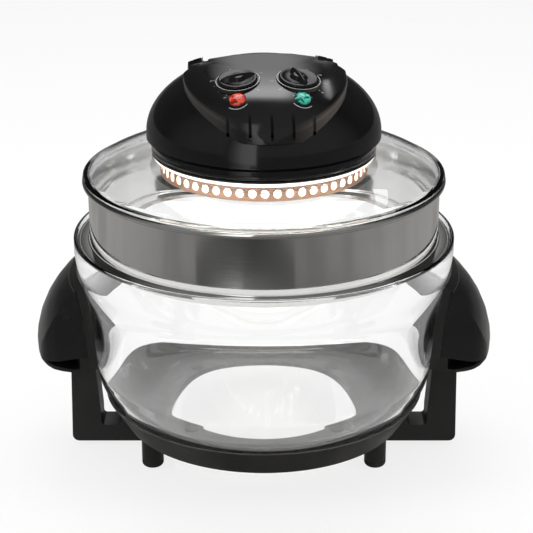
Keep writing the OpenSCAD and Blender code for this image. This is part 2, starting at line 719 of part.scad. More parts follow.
module head_cover() {
    color(gloss_black) on_head() difference() {
        union() {
            difference() {
                dome_solid(0, housing_h + touch);
                dome_solid(-shell_t, housing_h + 2.4);
                translate([0, 0, housing_h - 1]) cylinder(r = housing_r - 2.2, h = 6, $fn = 128);
                // opening under the panel
                intersection() {
                    panel_plan(7, 0);
                    translate([-100, -120, dome_zc]) cube([200, 108, 100]);
                }
            }
            intersection() {
                dome_solid(0, housing_h + touch);
                union() {
                    both_sides() {
                        // lining of the hub's pocket, and the boss that holds the pin
                        translate([pocket_in - 2, pivot_y, pivot_z]) rotate([0, 90, 0])
                            cylinder(r = pocket_r + 2.2, h = pocket_out - pocket_in + 4);
                        translate([boss_in, pivot_y, pivot_z]) rotate([0, 90, 0])
                            cylinder(r = 6, h = 12, $fn = 32);
                        // rib that carries the switch
                        translate([switch_in, pivot_y - 10, pivot_z - 28]) cube([2.2, 20, 20]);
                    }
                    ring_of(cover_screw_angles, cover_screw_r) translate([0, 0, floor_top + touch])
                        cylinder(r = 4.5, h = 60, $fn = 32);
                }
            }
        }
        both_sides() {
            translate([pocket_in, pivot_y, pivot_z]) rotate([0, 90, 0])
                cylinder(r = pocket_r, h = pocket_out - pocket_in);
            translate([boss_in - 1, pivot_y, pivot_z]) rotate([0, 90, 0])
                cylinder(r = pin_r + touch, h = 40, $fn = 32);
        }
        translate([switch_x, pivot_y, pivot_z - 30])
            cylinder(r = plunger_r + fit, h = 30, $fn = 24);
        ring_of(cover_screw_angles, cover_screw_r) translate([0, 0, floor_top - 1])
            cylinder(r = screw_r + fit, h = 14, $fn = 24);
        inlet_shape(inlet_w + 5 + 2 * touch, inlet_h + 3 + 2 * touch, 70, 120);
        // louvres each side of the inlet
        for (s = [-1, 1], k = [0:4]) rotate([0, 0, s * (20 + k * 4)])
            translate([-1.2, 80, dome_zc + 8]) cube([2.4, 40, 14]);
        // lips that let the panel's slots breathe
        for (k = [-2:2]) translate([k * slot_pitch - slot_w / 2, -112, panel_low + 4])
            cube([slot_w, 40, 20]);
    }
}

lens_roof = -0.4;     // underside of a lens's roof, from the lens's seat
lens_skirt = 6.3;     // depth of a lens's skirt under its seat
bulb_r = 2.55;
bulb_z = lens_roof - loose - bulb_r;

module lens() {
    translate([0, 0, -lens_sink]) difference() {
        rotate_extrude($fn = 64)
            polygon(concat([[0, -lens_skirt], [lens_r, -lens_skirt]],
                           [for (i = [0:8]) let (a = 90 * i / 8)
                                [lens_r * cos(a), 0.6 + 2.6 * sin(a)]]));
        translate([0, 0, -8]) cylinder(r = lens_r - 1.4, h = 8 + lens_roof);
    }
}

module red_lens() { color("#d8281a") on_head() on_panel(-lens_x, lens_t) lens(); }
module green_lens() { color("#1fa277") on_head() on_panel(lens_x, lens_t) lens(); }

// neon lamps in their clips, plugged into the back of the lenses
module indicator_lamps() {
    color("#e8b27a") on_head() for (s = [-1, 1]) on_panel(s * lens_x, lens_t)
        translate([0, 0, -lens_sink]) {
            translate([0, 0, -6]) cylinder(r = bulb_r + 0.05, h = bulb_z + 6, $fn = 32);
            translate([0, 0, bulb_z]) sphere(r = bulb_r, $fn = 32);
            translate([0, 0, -11]) cylinder(r = lens_r - 1.4 - fit, h = 5, $fn = 32);
        }
}

// ---------- heater ----------
guard_tab_r = guard_r - 5;
slot_bottom = -8.8;
slot_top = -0.8;
guard_slots = 18;
guard_window_angles = [for (k = [0:guard_slots - 1]) (k + 0.5) * 360 / guard_slots];
tab_angle = 2.6;
lamp_z = -10.3;
cap_turn = 25;
cap_x = lamp_ring_r * sin(cap_turn);
cap_y = lamp_ring_r * cos(cap_turn);
probe_x = 22;
probe_y = 13.8 - guard_r;
reflector_z = -3.3;
reflector_t = 1;

module heat_reflector() {
    color(steel) on_head() difference() {
        union() {
            translate([0, 0, reflector_z])
                cylinder(r = guard_r - 1.5, h = reflector_t, $fn = 128);
            ring_of(disc_screw_angles, disc_screw_r) translate([0, 0, reflector_z])
                cylinder(r = 5, h = reflector_t);
        }
        translate([0, 0, -9]) cylinder(r = 8, h = 12);
        ring_of(disc_screw_angles, disc_screw_r) translate([0, 0, -9])
            cylinder(r = 1.5 + fit, h = 12, $fn = 24);
        ring_of(cover_screw_angles, cover_screw_r) translate([0, 0, -9])
            cylinder(r = 3, h = 12, $fn = 24);
        for (s = [-1, 1]) translate([s * cap_x, cap_y, -9]) cylinder(r = 2, h = 12, $fn = 24);
        translate([probe_x, probe_y, -9]) cylinder(r = 1.6, h = 12, $fn = 24);
    }
}

module insulation_disc() {
    color("#d9d2c0") on_head() difference() {
        translate([0, 0, reflector_z + reflector_t + touch])
            cylinder(r = cover_screw_r - 4.5, h = floor_z - reflector_z - reflector_t - 2 * touch,
                     $fn = 128);
        translate([0, 0, -9]) cylinder(r = 9, h = 12);
        ring_of(disc_screw_angles, disc_screw_r) translate([0, 0, -9])
            cylinder(r = 1.5 + fit, h = 12, $fn = 24);
        for (s = [-1, 1]) translate([s * cap_x, cap_y, -9]) cylinder(r = 2, h = 12, $fn = 24);
        translate([probe_x, probe_y, -9]) cylinder(r = 1.8, h = 12, $fn = 24);
    }
}

module heater_guard() {
    color("#b98a72") on_head() difference() {
        union() {
            difference() {
                translate([0, 0, -guard_h]) cylinder(r = guard_r, h = guard_h + 0.6, $fn = 128);
                translate([0, 0, -guard_h + guard_t])
                    cylinder(r = guard_r - guard_t, h = guard_h + 9, $fn = 128);
                translate([0, 0, -guard_h - 1]) cylinder(r = guard_r - 6, h = 9, $fn = 128);
            }
            intersection() {
                ring_of(guard_screw_angles, guard_tab_r - 4) translate([0, -7, 0.1]) cube([9, 14, 1]);
                translate([0, 0, 0.1]) cylinder(r = guard_r - 0.5, h = 1.05 - touch, $fn = 128);
            }
        }
        for (k = [0:guard_holes - 1]) rotate([0, 0, k * 360 / guard_holes])
            translate([guard_r - 3, 0, -guard_h + 6.3]) rotate([0, 90, 0])
                cylinder(r = guard_hole_r, h = 6, $fn = 24);
        ring_of(guard_window_angles, 0) guard_window(guard_r, slot_bottom);
        ring_of(guard_screw_angles, guard_tab_r) translate([0, 0, -1])
            cylinder(r = 1.5 + fit, h = 4, $fn = 24);
    }
}

// a window in a sleeve of radius r, between two tabs
module guard_window(r, low) {
    span = 360 / guard_slots - tab_angle;
    rotate([0, 0, -span / 2]) rotate_extrude(angle = span, $fn = 128)
        translate([r - 3, low]) square([6, slot_top - low]);
}

guard_t = 1;
plate_t = 0.8;
plate_hole_r = 4.2;
plate_pitch = 14;

// perforated plate that closes the guard below the lamp and the fan, in rings of round holes
module guard_plate() {
    color("#b98a72") on_head() translate([0, 0, -guard_h + guard_t + touch]) difference() {
        cylinder(r = guard_r - guard_t - 0.8, h = plate_t, $fn = 128);
        for (k = [0:5]) {
            n = k == 0 ? 1 : 6 * k;
            ring_of([for (i = [0:n - 1]) i * 360 / n + 5 * k], k * plate_pitch)
                translate([0, 0, -1]) cylinder(r = plate_hole_r, h = plate_t + 2, $fn = 24);
        }
    }
}

module guard_screws() {
    color(dark_steel) on_head() {
        ring_of(guard_screw_angles, guard_tab_r) translate([0, 0, 0.1 - touch])
            screw(5, 1.5, 2.8, 1.6);
        ring_of(disc_screw_angles, disc_screw_r) translate([0, 0, reflector_z - touch])
            screw(8.4, 1.5, 2.8, 1.6);
    }
}

module lamp_arc(r0, r1, a0, a1) {
    rotate([0, 0, a0]) rotate_extrude(angle = a1 - a0, $fn = 128)
        translate([lamp_ring_r, 0]) difference() {
            circle(r = r1, $fn = 32);
            if (r0 > 0) circle(r = r0, $fn = 32);
        }
}

cap_len_angle = 13;

module halogen_lamp() {
    color([1, 0.9, 0.7, 0.6]) on_head() translate([0, 0, lamp_z])
        lamp_arc(lamp_tube_r - 1, lamp_tube_r, 90 + cap_turn + cap_len_angle - 3,
                 450 - cap_turn - cap_len_angle + 3);
}

module lamp_filament() {
    color("#f2c14e") on_head() translate([0, 0, lamp_z])
        lamp_arc(0, 1.1, 90 + cap_turn + cap_len_angle - 4, 450 - cap_turn - cap_len_angle + 4);
}

// ceramic caps: a block at each end of the tube with a socket for it
module lamp_end_caps() {
    color(ceramic_white) on_head() both_sides() difference() {
        rotate([0, 0, 90 - cap_turn - 8]) translate([lamp_ring_r - 7, -9, lamp_z - 6.5])
            cube([14, 20, 13]);
        translate([0, 0, lamp_z]) rotate([0, 0, 90 - cap_turn - cap_len_angle - 20])
            rotate_extrude(angle = 24.2, $fn = 128)
                translate([lamp_ring_r, 0]) circle(r = lamp_tube_r + fit, $fn = 32);
    }
}

module lamp_brackets() {
    color(dark_steel) on_head() {
        // clips round the tube, hung from the reflector
        for (a = [190, 270, 350]) rotate([0, 0, a]) translate([lamp_ring_r, 0, 0]) {
            difference() {
                union() {
                    translate([0, 2.5, lamp_z]) rotate([90, 0, 0])
                        cylinder(r = lamp_tube_r + 1.2, h = 5, $fn = 32);
                    translate([-1.5, -2.5, lamp_z + 3]) cube([3, 5, reflector_z - lamp_z - 3 - touch]);
                    translate([-6, -2.5, reflector_z - 1 - touch]) cube([12, 5, 1]);
                }
                translate([-lamp_ring_r, 0, lamp_z]) rotate_extrude($fn = 128)
                    translate([lamp_ring_r, 0]) circle(r = lamp_tube_r + fit, $fn = 32);
            }
        }
        // straps that hang the ceramic caps
        both_sides() rotate([0, 0, 90 - cap_turn - 8])
            translate([lamp_ring_r - 7.2 - 1, -4, lamp_z - 6.5 - 1.1]) {
                cube([16.4, 8, 1]);
                cube([1, 8, reflector_z - lamp_z + 6.5 + 1.1 - touch]);
                translate([15.4, 0, 0]) cube([1, 8, reflector_z - lamp_z + 6.5 + 1.1 - touch]);
            }
    }
}

// ---------- motor ----------
bracket_t = 1.5;
low_bracket_z = floor_top + 15;
stator_z = low_bracket_z + bracket_t + 3.5;
stator_h = 16;
high_bracket_z = stator_z + stator_h + 3.5;
rotor_r = 12.6;
bearing_r = 7;

module motor_posts() {
    color(brass_yellow) on_head() for (x = [-post_x, post_x], y = [-post_y, post_y])
        translate([x, y, 0]) {
            translate([0, 0, floor_z]) cylinder(r = post_r, h = high_bracket_z + 3 - floor_z, $fn = 24);
            translate([0, 0, floor_z + floor_t + 2 + touch])
                cylinder(r = 4, h = low_bracket_z - floor_top - 2 - 2 * touch, $fn = 32);
            translate([0, 0, low_bracket_z + bracket_t + touch])
                cylinder(r = 4, h = 3.5 - 2 * touch, $fn = 32);
            translate([0, 0, stator_z + stator_h + touch]) cylinder(r = 4, h = 3.5 - 2 * touch, $fn = 32);
            translate([0, 0, high_bracket_z + bracket_t + touch]) cylinder(r = 3.6, h = 3, $fn = 6);
        }
}

module post_holes(z0, h) {
    for (x = [-post_x, post_x], y = [-post_y, post_y])
        translate([x, y, z0]) cylinder(r = post_r + fit, h = h, $fn = 24);
}

module motor_brackets() {
    color(dark_steel) on_head() for (z = [low_bracket_z, high_bracket_z]) difference() {
        translate([-26, -24, z]) cube([52, 48, bracket_t]);
        translate([0, 0, z - 1]) cylinder(r = bearing_r + fit, h = 5, $fn = 48);
        post_holes(z - 1, 5);
        for (s = [-1, 1]) translate([s * 36, 0, z - 1]) cylinder(r = 17, h = 5);
    }
}

module motor_bearings() {
    color(brass_yellow) on_head() for (z = [low_bracket_z - 1.5, high_bracket_z - 1.5]) difference() {
        translate([0, 0, z]) cylinder(r = bearing_r, h = 5, $fn = 48);
        translate([0, 0, z - 1]) cylinder(r = shaft_r + fit, h = 8, $fn = 32);
    }
}

window_y = 24;
leg_y = 31;

module motor_stator() {
    color("#6f6a64") on_head() difference() {
        translate([-26, -24, stator_z]) cube([52, leg_y + 8 + 24, stator_h]);
        translate([0, 0, stator_z - 1]) cylinder(r = rotor_r + 0.5, h = stator_h + 2);
        translate([-17, window_y - 6, stator_z - 1]) cube([34, leg_y - window_y + 5, stator_h + 2]);
        post_holes(stator_z - 1, stator_h + 2);
    }
}

module motor_coil() {
    color(copper) on_head() difference() {
        translate([-14, leg_y - 6, stator_z - 6]) cube([28, 20, stator_h + 12]);
        translate([-15, leg_y - 1 - loose, stator_z - loose])
            cube([30, 9 + 2 * loose, stator_h + 2 * loose]);
    }
}

module motor_rotor() {
    color("#8b8f94") on_head() translate([0, 0, stator_z]) difference() {
        cylinder(r = rotor_r, h = stator_h);
        translate([0, 0, -1]) cylinder(r = shaft_r + 0.01, h = stator_h + 2, $fn = 32);
    }
}

shaft_low = -16.9;
shaft_high = high_bracket_z + 17;

module motor_shaft() {
    color(steel) on_head() translate([0, 0, shaft_low])
        cylinder(r = shaft_r, h = shaft_high - shaft_low, $fn = 32);
}

cool_fan_z = high_bracket_z + 6;

module cooling_fan() {
    color("#3a3d40") on_head() translate([0, 0, cool_fan_z]) difference() {
        union() {
            cylinder(r = cool_fan_r, h = 1.4);
            cylinder(r = 8, h = 9);
            for (a = [0:36:324]) rotate([0, 0, a]) translate([7.5, 0, 1.3])
                rotate([0, 0, 16]) translate([0, -0.7, 0]) cube([cool_fan_r - 10, 1.4, 8.2]);
        }
        translate([0, 0, -1]) cylinder(r = shaft_r + 0.01, h = 11, $fn = 32);
    }
}

hot_fan_z = -13.8;

module hot_air_fan() {
    color(steel) on_head() translate([0, 0, hot_fan_z]) difference() {
        union() {
            cylinder(r = 7, h = 7.5);
            translate([0, 0, 6.5]) cylinder(r = hot_fan_r, h = 1);
            for (a = [0:30:330]) rotate([0, 0, a]) translate([14, 0, 0.5])
                rotate([0, 0, 20]) translate([0, -0.5, 0]) cube([hot_fan_r - 16, 1, 6.2]);
        }
        translate([0, 0, -1]) cylinder(r = shaft_r + 0.01, h = 11, $fn = 32);
    }
}

module fan_nut() {
    color(brass_yellow) on_head() translate([0, 0, hot_fan_z - 2.6]) difference() {
        cylinder(r = 5, h = 2.6 - touch, $fn = 6);
        translate([0, 0, -1]) cylinder(r = shaft_r + 0.01, h = 5, $fn = 32);
    }
}

// ---------- timer, thermostat and switch ----------
body_top = -shell_t - 6.2;    // low enough for the panel's fall to its sides
body_h = 20;
body_r = 16;
lug_h = 1.2;
collar_h = 6.1;       // of the body's neck, up to the panel's skin
spindle_r = 3;
spindle_top = 4.8;
thermostat_h = body_h - 2;
skirt_t = 2.4;        // height of a knob's skirt
skirt_round = 1.6;
blade_h = 4.2;        // height of a knob's grip blade above its skirt

module control_body(depth, r) {
    difference() {
        union() {
            translate([0, 0, body_top - depth]) cylinder(r = r, h = depth);
            translate([0, 0, body_top - 1]) cylinder(r = 4, h = 1 + collar_h, $fn = 32);
            for (a = [0, 180]) rotate([0, 0, a + 40])
                translate([r - 3, -3, body_top - 1]) cube([4, 6, 1 + lug_h]);
        }
        translate([0, 0, body_top - depth + 4]) cylinder(r = spindle_r + fit, h = 60, $fn = 32);
    }
}

module timer_body() { color("#cfc9b8") on_head() on_panel(-knob_x, knob_t) control_body(body_h, body_r); }

module timer_bell() {
    color(steel) on_head() on_panel(-knob_x, knob_t) translate([0, 0, body_top - body_h - touch])
        union() {
            difference() {
                translate([0, 0, -7]) cylinder(r1 = 12.5, r2 = 9.5, h = 6);
                translate([0, 0, -8]) cylinder(r1 = 12, r2 = 9, h = 6);
            }
            translate([0, 0, -1.5]) cylinder(r = 2.4, h = 1.5, $fn = 24);
        }
}

module thermostat_body() {
    color("#d8cfa8") on_head() on_panel(knob_x, knob_t) control_body(thermostat_h, body_r - 1);
}

module spindle() {
    translate([0, 0, body_top - 14])
        cylinder(r = spindle_r, h = 14 - body_top + spindle_top, $fn = 32);
}

module timer_shaft() { color(steel) on_head() on_panel(-knob_x, knob_t) spindle(); }
module thermostat_shaft() { color(steel) on_head() on_panel(knob_x, knob_t) spindle(); }

module knob(turn) {
    base = seat_h + loose;
    rotate([0, 0, turn]) difference() {
        union() {
            translate([0, 0, base]) rotate_extrude($fn = 64)
                polygon(concat([[0, 0], [knob_r, 0]],
                               arc([knob_r - skirt_round, skirt_t - skirt_round], skirt_round, 0, 90, 4),
                               [[0, skirt_t]]));
            intersection() {
                translate([0, 0, base]) cylinder(r1 = knob_r - 1.2, r2 = knob_r - 4.6, h = 9);
                translate([0, 0, base + skirt_t - 0.4]) union() {
                    translate([-20, -3.1, 0]) cube([40, 6.2, blade_h]);
                    cylinder(r1 = 7.6, r2 = 6, h = blade_h - 1);
                }
            }
        }
        cylinder(r = spindle_r + 0.01, h = spindle_top + touch, $fn = 32);
    }
}

module timer_knob() { color(gloss_black) on_head() on_panel(-knob_x, knob_t) knob(12); }
module thermostat_knob() { color(gloss_black) on_head() on_panel(knob_x, knob_t) knob(-70); }

module thermostat_probe() {
    z = reflector_z - 3.4;
    color(copper) on_head() {
        rod([-24, probe_y, z], [probe_x - 4, probe_y, z], 2.4);
        bent_rod([[probe_x - 5, probe_y, z], [probe_x, probe_y, z], [probe_x, probe_y, 24],
                  panel_point(knob_x, knob_t, [2, -6, body_top - thermostat_h - 6]),
                  panel_point(knob_x, knob_t, [2, -6, body_top - thermostat_h - touch])], 0.9);
        for (x = [-18, 10]) translate([x, probe_y - 2, z + 2]) cube([4, 4, reflector_z - z - 2 - touch]);
    }
}

module microswitch() {
    z = pivot_z - 28;
    color("#25282c") on_head() difference() {
        translate([switch_x - 3.2 + touch, pivot_y - 10, z]) cube([6.4 - 2 * touch, 20, 11]);
        translate([switch_x, pivot_y, z + 4]) cylinder(r = plunger_r + fit, h = 10, $fn = 24);
        for (y = [-6, 6]) translate([switch_x - 5, pivot_y + y, z + 3]) rotate([0, 90, 0])
            cylinder(r = 1.2, h = 10, $fn = 24);
    }
}

cam_lift = 2;
cam_w = 6;
cam_r = hub_r - 0.15;
hub_h = hub_w - cam_w + 0.5;
hub_round = 5;
plunger_top = pivot_z - cam_r - loose;

module switch_plunger() {
    color("#b7322a") on_head() translate([switch_x, pivot_y, 0]) {
        translate([0, 0, pivot_z - 22.5])
            cylinder(r = plunger_r, h = plunger_top - plunger_r - pivot_z + 22.5, $fn = 24);
        translate([0, 0, plunger_top - plunger_r]) sphere(r = plunger_r, $fn = 24);
    }
}

// ---------- carry handle ----------
// the hub's inner stretch is a cam whose radius falls by cam_lift over a quarter turn
module cam_disc(w) {
    rotate([90, 0, 90]) linear_extrude(w)
        polygon(concat(
            [for (i = [0:9]) let (a = -90 - 10 * i, r = cam_r - cam_lift * i / 9)
                r * [cos(a), sin(a)]],
            [for (i = [1:17]) let (a = 180 - 15 * i, r = cam_r - (i < 3 ? cam_lift * (3 - i) / 3 : 0))
                r * [cos(a), sin(a)]]));
}

// the arms and the bar seen from above
module handle_plan() {
    arm_in = hub_in + 1;
    arm_out = hub_in + hub_w - 0.5;
    intersection() {
        translate([-arm_out, pivot_y]) square([2 * arm_out, bar_out_r]);
        circle(r = bar_out_r, $fn = 128);
        union() {
            difference() {
                circle(r = bar_out_r, $fn = 128);
                circle(r = bar_out_r - bar_w, $fn = 128);
            }
            both_sides() translate([arm_in, 0]) square([arm_out - arm_in, bar_out_r]);
        }
    }
}

module carry_handle() {
    color(gloss_black) on_head() difference() {
        union() {
            both_sides() translate([hub_in, pivot_y, pivot_z]) {
                // hub, with its outer edge rounded
                translate([cam_w - 0.5, 0, 0]) rotate([0, 90, 0]) rotate_extrude()
                    polygon(concat([[0, 0], [hub_r, 0]],
                                   arc([hub_r - hub_round, hub_h - hub_round], hub_round, 0, 90, 8),
                                   [[0, hub_h]]));
                cam_disc(cam_w);
            }
            intersection() {
                linear_extrude(120) handle_plan();
                difference() {
                    dome_solid(air + 0.2 + bar_t, -5);
                    dome_solid(air + 0.2, -6);
                    // the arms stay low beside the hubs, so that the raised handle clears the panel
                    translate([-100, 0, pivot_z + hub_r - 0.6]) cube([200, pivot_y + 12, 40]);
                }
            }
        }
        both_sides() translate([hub_in - 1, pivot_y, pivot_z]) rotate([0, 90, 0])
            cylinder(r = pin_r + fit, h = 10, $fn = 32);
    }
}

module handle_pins() {
    color(steel) on_head() both_sides() translate([boss_in - 1.5, pivot_y, pivot_z]) rotate([0, 90, 0]) {
        cylinder(r = pin_r, h = hub_in + 8 - boss_in + 1.5, $fn = 32);
        cylinder(r = pin_head_r, h = 1.5 - touch, $fn = 32);
    }
}

// ---------- power inlet, wiring and screws ----------
module power_inlet() {
    color("#1d1e20") on_head() difference() {
        union() {
            inlet_shape(inlet_w + 5, inlet_h + 3, inlet_face_y - inlet_depth, inlet_face_y);
            // surround that sits on the dome
            difference() {
                inlet_shape(inlet_w + 9, inlet_h + 4.4, inlet_face_y - 9, inlet_face_y);
                dome_solid(touch, -5);
            }
        }
        inlet_shape(inlet_w, inlet_h, inlet_face_y - inlet_depth + 4, inlet_face_y + 5);
        for (p = pin_places) pin_at(p, 2.2, 4.2, inlet_face_y - inlet_depth - 8, inlet_face_y);
    }
}

pin_places = [[-7, -1.6], [7, -1.6], [0, 2.6]];

module pin_at(p, w, h, y0, y1) {
    translate([p.x - w / 2, y0, inlet_z + p.y - h / 2]) cube([w, y1 - y0, h]);
}

module inlet_pins() {
    color(steel) on_head() for (p = pin_places)
        pin_at(p, 2.1, 4.1, inlet_face_y - inlet_depth - 6, inlet_face_y - 4);
}

block_x = -50;
block_y = 42;

module terminal_block() {
    color(ceramic_white) on_head() difference() {
        translate([block_x - 14, block_y - 6, floor_top + touch]) cube([28, 12, 12]);
        for (x = [-9, 0, 9]) translate([block_x + x, block_y, floor_top + 6])
            cylinder(r = 2, h = 8, $fn = 24);
    }
}

module thermal_fuse() {
    color("#d9d9d9") on_head() {
        rod([38, 34, floor_top + 3.02], [38, 50, floor_top + 3.02], 3);
        rod([38, 28, floor_top + 3.02], [38, 56, floor_top + 3.02], 0.8);
    }
}

module wires() {
    y_in = inlet_face_y - inlet_depth - 6.2;
    z_in = inlet_z - 1.6;
    color("#a33a2c") on_head() {
        // inlet to terminal block
        bent_rod([[-7, y_in, z_in], [-7, y_in - 8, z_in], [-30, 60, z_in], [block_x + 9, block_y, 24],
                  [block_x + 9, block_y, floor_top + 6.5]], 1.1);
        // inlet to thermal fuse
        bent_rod([[7, y_in, z_in], [7, y_in - 6, z_in], [34, 62, 14], [38, 58, floor_top + 3.02],
                  [38, 56.2, floor_top + 3.02]], 1.1);
        // terminal block to timer, and to motor coil
        bent_rod([[block_x - 9, block_y, floor_top + 6.5], [block_x - 9, block_y, 24],
                  [-68, 22, 30], [-60, 0, 32],
                  panel_point(-knob_x, knob_t, [-body_r - 9, 4, body_top - 12]),
                  panel_point(-knob_x, knob_t, [-body_r - 0.3, 4, body_top - 12])], 1.1);
        bent_rod([[block_x, block_y, floor_top + 6.5], [block_x, block_y, 22], [-30, 54, 30],
                  [-6, 52, stator_z + 8], [-6, leg_y + 14 + touch, stator_z + 8]], 1.1);
        // fuse to switch
        bent_rod([[38, 27.8, floor_top + 3.02], [38, 24, floor_top + 4], [44, 14, 18],
                  [switch_x, pivot_y, 30], [switch_x, pivot_y, pivot_z - 28.05]], 1.1);
    }
}

module cover_screws() {
    color(dark_steel) on_head() ring_of(cover_screw_angles, cover_screw_r)
        translate([0, 0, floor_z - touch]) screw(14, screw_r, screw_head_r - 0.4, 2);
}

base_ring();
left_arm();
right_arm();
left_grip();
right_grip();
rubber_feet();
bowl_pads();
arm_screws();
grip_screws();
glass_bowl();
extender_ring();
lid_glass();
lid_gasket();
glass_clamp();
lower_housing();
head_cover();
control_panel();
red_lens();
green_lens();
indicator_lamps();
heat_reflector();
insulation_disc();
heater_guard();
guard_plate();
guard_screws();
halogen_lamp();
lamp_filament();
lamp_end_caps();
lamp_brackets();
motor_stator();
motor_coil();
motor_brackets();
motor_bearings();
motor_posts();
timer_body();
timer_bell();
thermostat_body();
thermostat_probe();
terminal_block();
thermal_fuse();
wires();
power_inlet();
inlet_pins();
microswitch();
handle_pins();
cover_screws();
carry_handle();
switch_plunger();
timer_knob();
timer_shaft();
thermostat_knob();
thermostat_shaft();
motor_shaft();
motor_rotor();
cooling_fan();
hot_air_fan();
fan_nut();
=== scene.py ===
"""Looks of a countertop halogen oven.

A glass bowl stands in a black cradle, under a polished extender ring and a powered lid with a black head.
Everything is in metres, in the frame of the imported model. Sizes that the frame doesn't give are named
values, in millimetres.
"""
import json
import math

import bmesh
import bpy
from mathutils import Matrix, Vector
from mathutils.bvhtree import BVHTree


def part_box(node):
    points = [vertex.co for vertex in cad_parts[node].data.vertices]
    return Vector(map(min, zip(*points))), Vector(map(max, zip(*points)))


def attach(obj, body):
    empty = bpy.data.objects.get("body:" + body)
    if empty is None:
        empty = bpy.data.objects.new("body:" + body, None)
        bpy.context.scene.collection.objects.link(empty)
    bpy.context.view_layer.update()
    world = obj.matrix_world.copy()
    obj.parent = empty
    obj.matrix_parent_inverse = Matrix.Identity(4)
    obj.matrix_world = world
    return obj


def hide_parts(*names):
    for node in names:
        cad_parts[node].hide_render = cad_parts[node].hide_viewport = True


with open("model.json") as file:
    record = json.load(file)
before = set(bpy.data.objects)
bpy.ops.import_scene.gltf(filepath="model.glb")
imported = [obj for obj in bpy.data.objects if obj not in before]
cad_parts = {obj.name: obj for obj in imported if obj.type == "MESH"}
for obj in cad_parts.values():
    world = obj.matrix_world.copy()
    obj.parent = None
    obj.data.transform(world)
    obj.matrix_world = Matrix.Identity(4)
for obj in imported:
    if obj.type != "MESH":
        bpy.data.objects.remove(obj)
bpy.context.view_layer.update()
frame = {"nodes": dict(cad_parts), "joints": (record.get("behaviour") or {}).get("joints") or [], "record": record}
MM = 0.001


# ---------- sizes ----------
def joint(name):
    return next(j for j in frame["joints"] if j["name"] == name)


# the head stands on the lower housing, turned so that the handle's axis is its X
HEAD_TURN = math.atan2(joint("handle_fold")["axis"][1], joint("handle_fold")["axis"][0])
HEAD_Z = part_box("lower_housing")[0].z / MM

# glass bowl
BOWL_LOW, BOWL_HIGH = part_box("glass_bowl")
RIM_R = BOWL_HIGH.x / MM
BOWL_Z = BOWL_LOW.z / MM
LIP_H = 4.0
RIM_Z = BOWL_HIGH.z / MM - LIP_H
GLASS_T = 5.2
CORNER_R = 52.4
CORNER_LEAN = 7
WAIST_R = 151.7
WALL_FOOT = 46

# extender ring
EXT_R = 153.8
SHEET_T = 1.0
BEAD_R = 2.6
BEAD_Z = 54.2
FLANGE_R = 162.5
SKIRT_R = 150.4
SKIRT_H = 8.0

# lid glass
LID_GLASS_T = 4.5
LID_EDGE_R = 158.0
LID_HOLE_R = 92.0
GASKET_T = 1.5
# how far the ring and the lid stand clear of what carries them
SEAT_GAP = 0.02

# dome of the head cover, and the panel on it
DOME_LOW, DOME_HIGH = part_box("head_cover")
DOME_R = (DOME_HIGH.x - DOME_LOW.x) / 2 / MM
DOME_TOP = DOME_HIGH.z / MM - HEAD_Z
DOME_H = 63
DOME_ZC = DOME_TOP - DOME_H
PANEL_PROUD = 6.5
PANEL_FRONT = 0.4 - DOME_R
PANEL_LOW = 33.2
CROWN_R = 270

# knobs and lenses: X is measured from the middle, and PLACE along the panel's line, from 0 to 1
KNOB_X = 25.2
KNOB_PLACE = 0.36
KNOB_R = 16.7
LENS_X = 27
LENS_PLACE = 0.567
LENS_R = 6.7
LENS_SINK = 2.6
SEAT_R = KNOB_R + 2
SEAT_H = 0.4

# vent slots: how their front follows the dome, and their reach past it and above the panel's low edge
SLOT_W = 2.4
SLOT_PITCH = 17.7
SLOT_CURVE = 0.00374
SLOT_Y = (-9, 11)
SLOT_Z = (3, 25)

HEAD = Matrix.Translation((0, 0, HEAD_Z * MM)) @ Matrix.Rotation(HEAD_TURN, 4, "Z")


def unit(value):
    """The value, held between 0 and 1."""
    return max(0.0, min(1.0, value))


def dome_height(x, y, proud=0.0):
    """Height of the dome, or of a shell that stands proud of it, in the head's frame."""
    share = (x * x + y * y) / (DOME_R + proud) ** 2
    return DOME_ZC + (DOME_H + proud) * math.sqrt(max(0.0, 1 - share))


# ---------- camera, floor and light ----------
CAMERA_LENS = 113.2
CAMERA_PITCH = math.radians(21.08)
CAMERA_PLACE = (0.0023, -1.4, 0.711)


def make_camera():
    data = bpy.data.cameras.new("camera")
    data.sensor_width = 36
    data.lens = CAMERA_LENS
    camera = bpy.data.objects.new("camera", data)
    camera.location = CAMERA_PLACE
    camera.rotation_euler = (math.pi / 2 - CAMERA_PITCH, 0, 0)
    bpy.context.scene.collection.objects.link(camera)
    bpy.context.scene.camera = camera


make_camera()


def grey(value):
    return (value, value, value, 1)


class Nodes:
    """A node tree with short calls to add and join nodes. It starts empty, unless it keeps what is there."""

    def __init__(self, tree, keep=False):
        self.tree = tree
        if not keep:
            tree.nodes.clear()

    def add(self, kind, inputs=None, **settings):
        node = self.tree.nodes.new(kind)
        for key, value in settings.items():
            setattr(node, key, value)
        for key, value in (inputs or {}).items():
            if isinstance(value, bpy.types.NodeSocket):
                self.tree.links.new(value, node.inputs[key])
            else:
                node.inputs[key].default_value = value
        return node

    def math(self, operation, a, b=0.0, clamp=False):
        node = self.add("ShaderNodeMath", {0: a, 1: b}, operation=operation)
        node.use_clamp = clamp
        return node.outputs[0]

    def mix(self, factor, a, b):
        """A colour between a and b. A Mix node takes colours in sockets 6 and 7 and gives one in 2."""
        return self.add("ShaderNodeMix", {0: factor, 6: a, 7: b}, data_type="RGBA").outputs[2]

    def ramp(self, factor, *stops):
        """A colour that runs through stops, each a place with a colour or a grey level."""
        node = self.add("ShaderNodeValToRGB", {0: factor})
        elements = node.color_ramp.elements
        while len(elements) < len(stops):
            elements.new(0.5)
        for element, (place, colour) in zip(elements, stops):
            element.position = place
            element.color = grey(colour) if isinstance(colour, (int, float)) else colour
        return node.outputs[0]


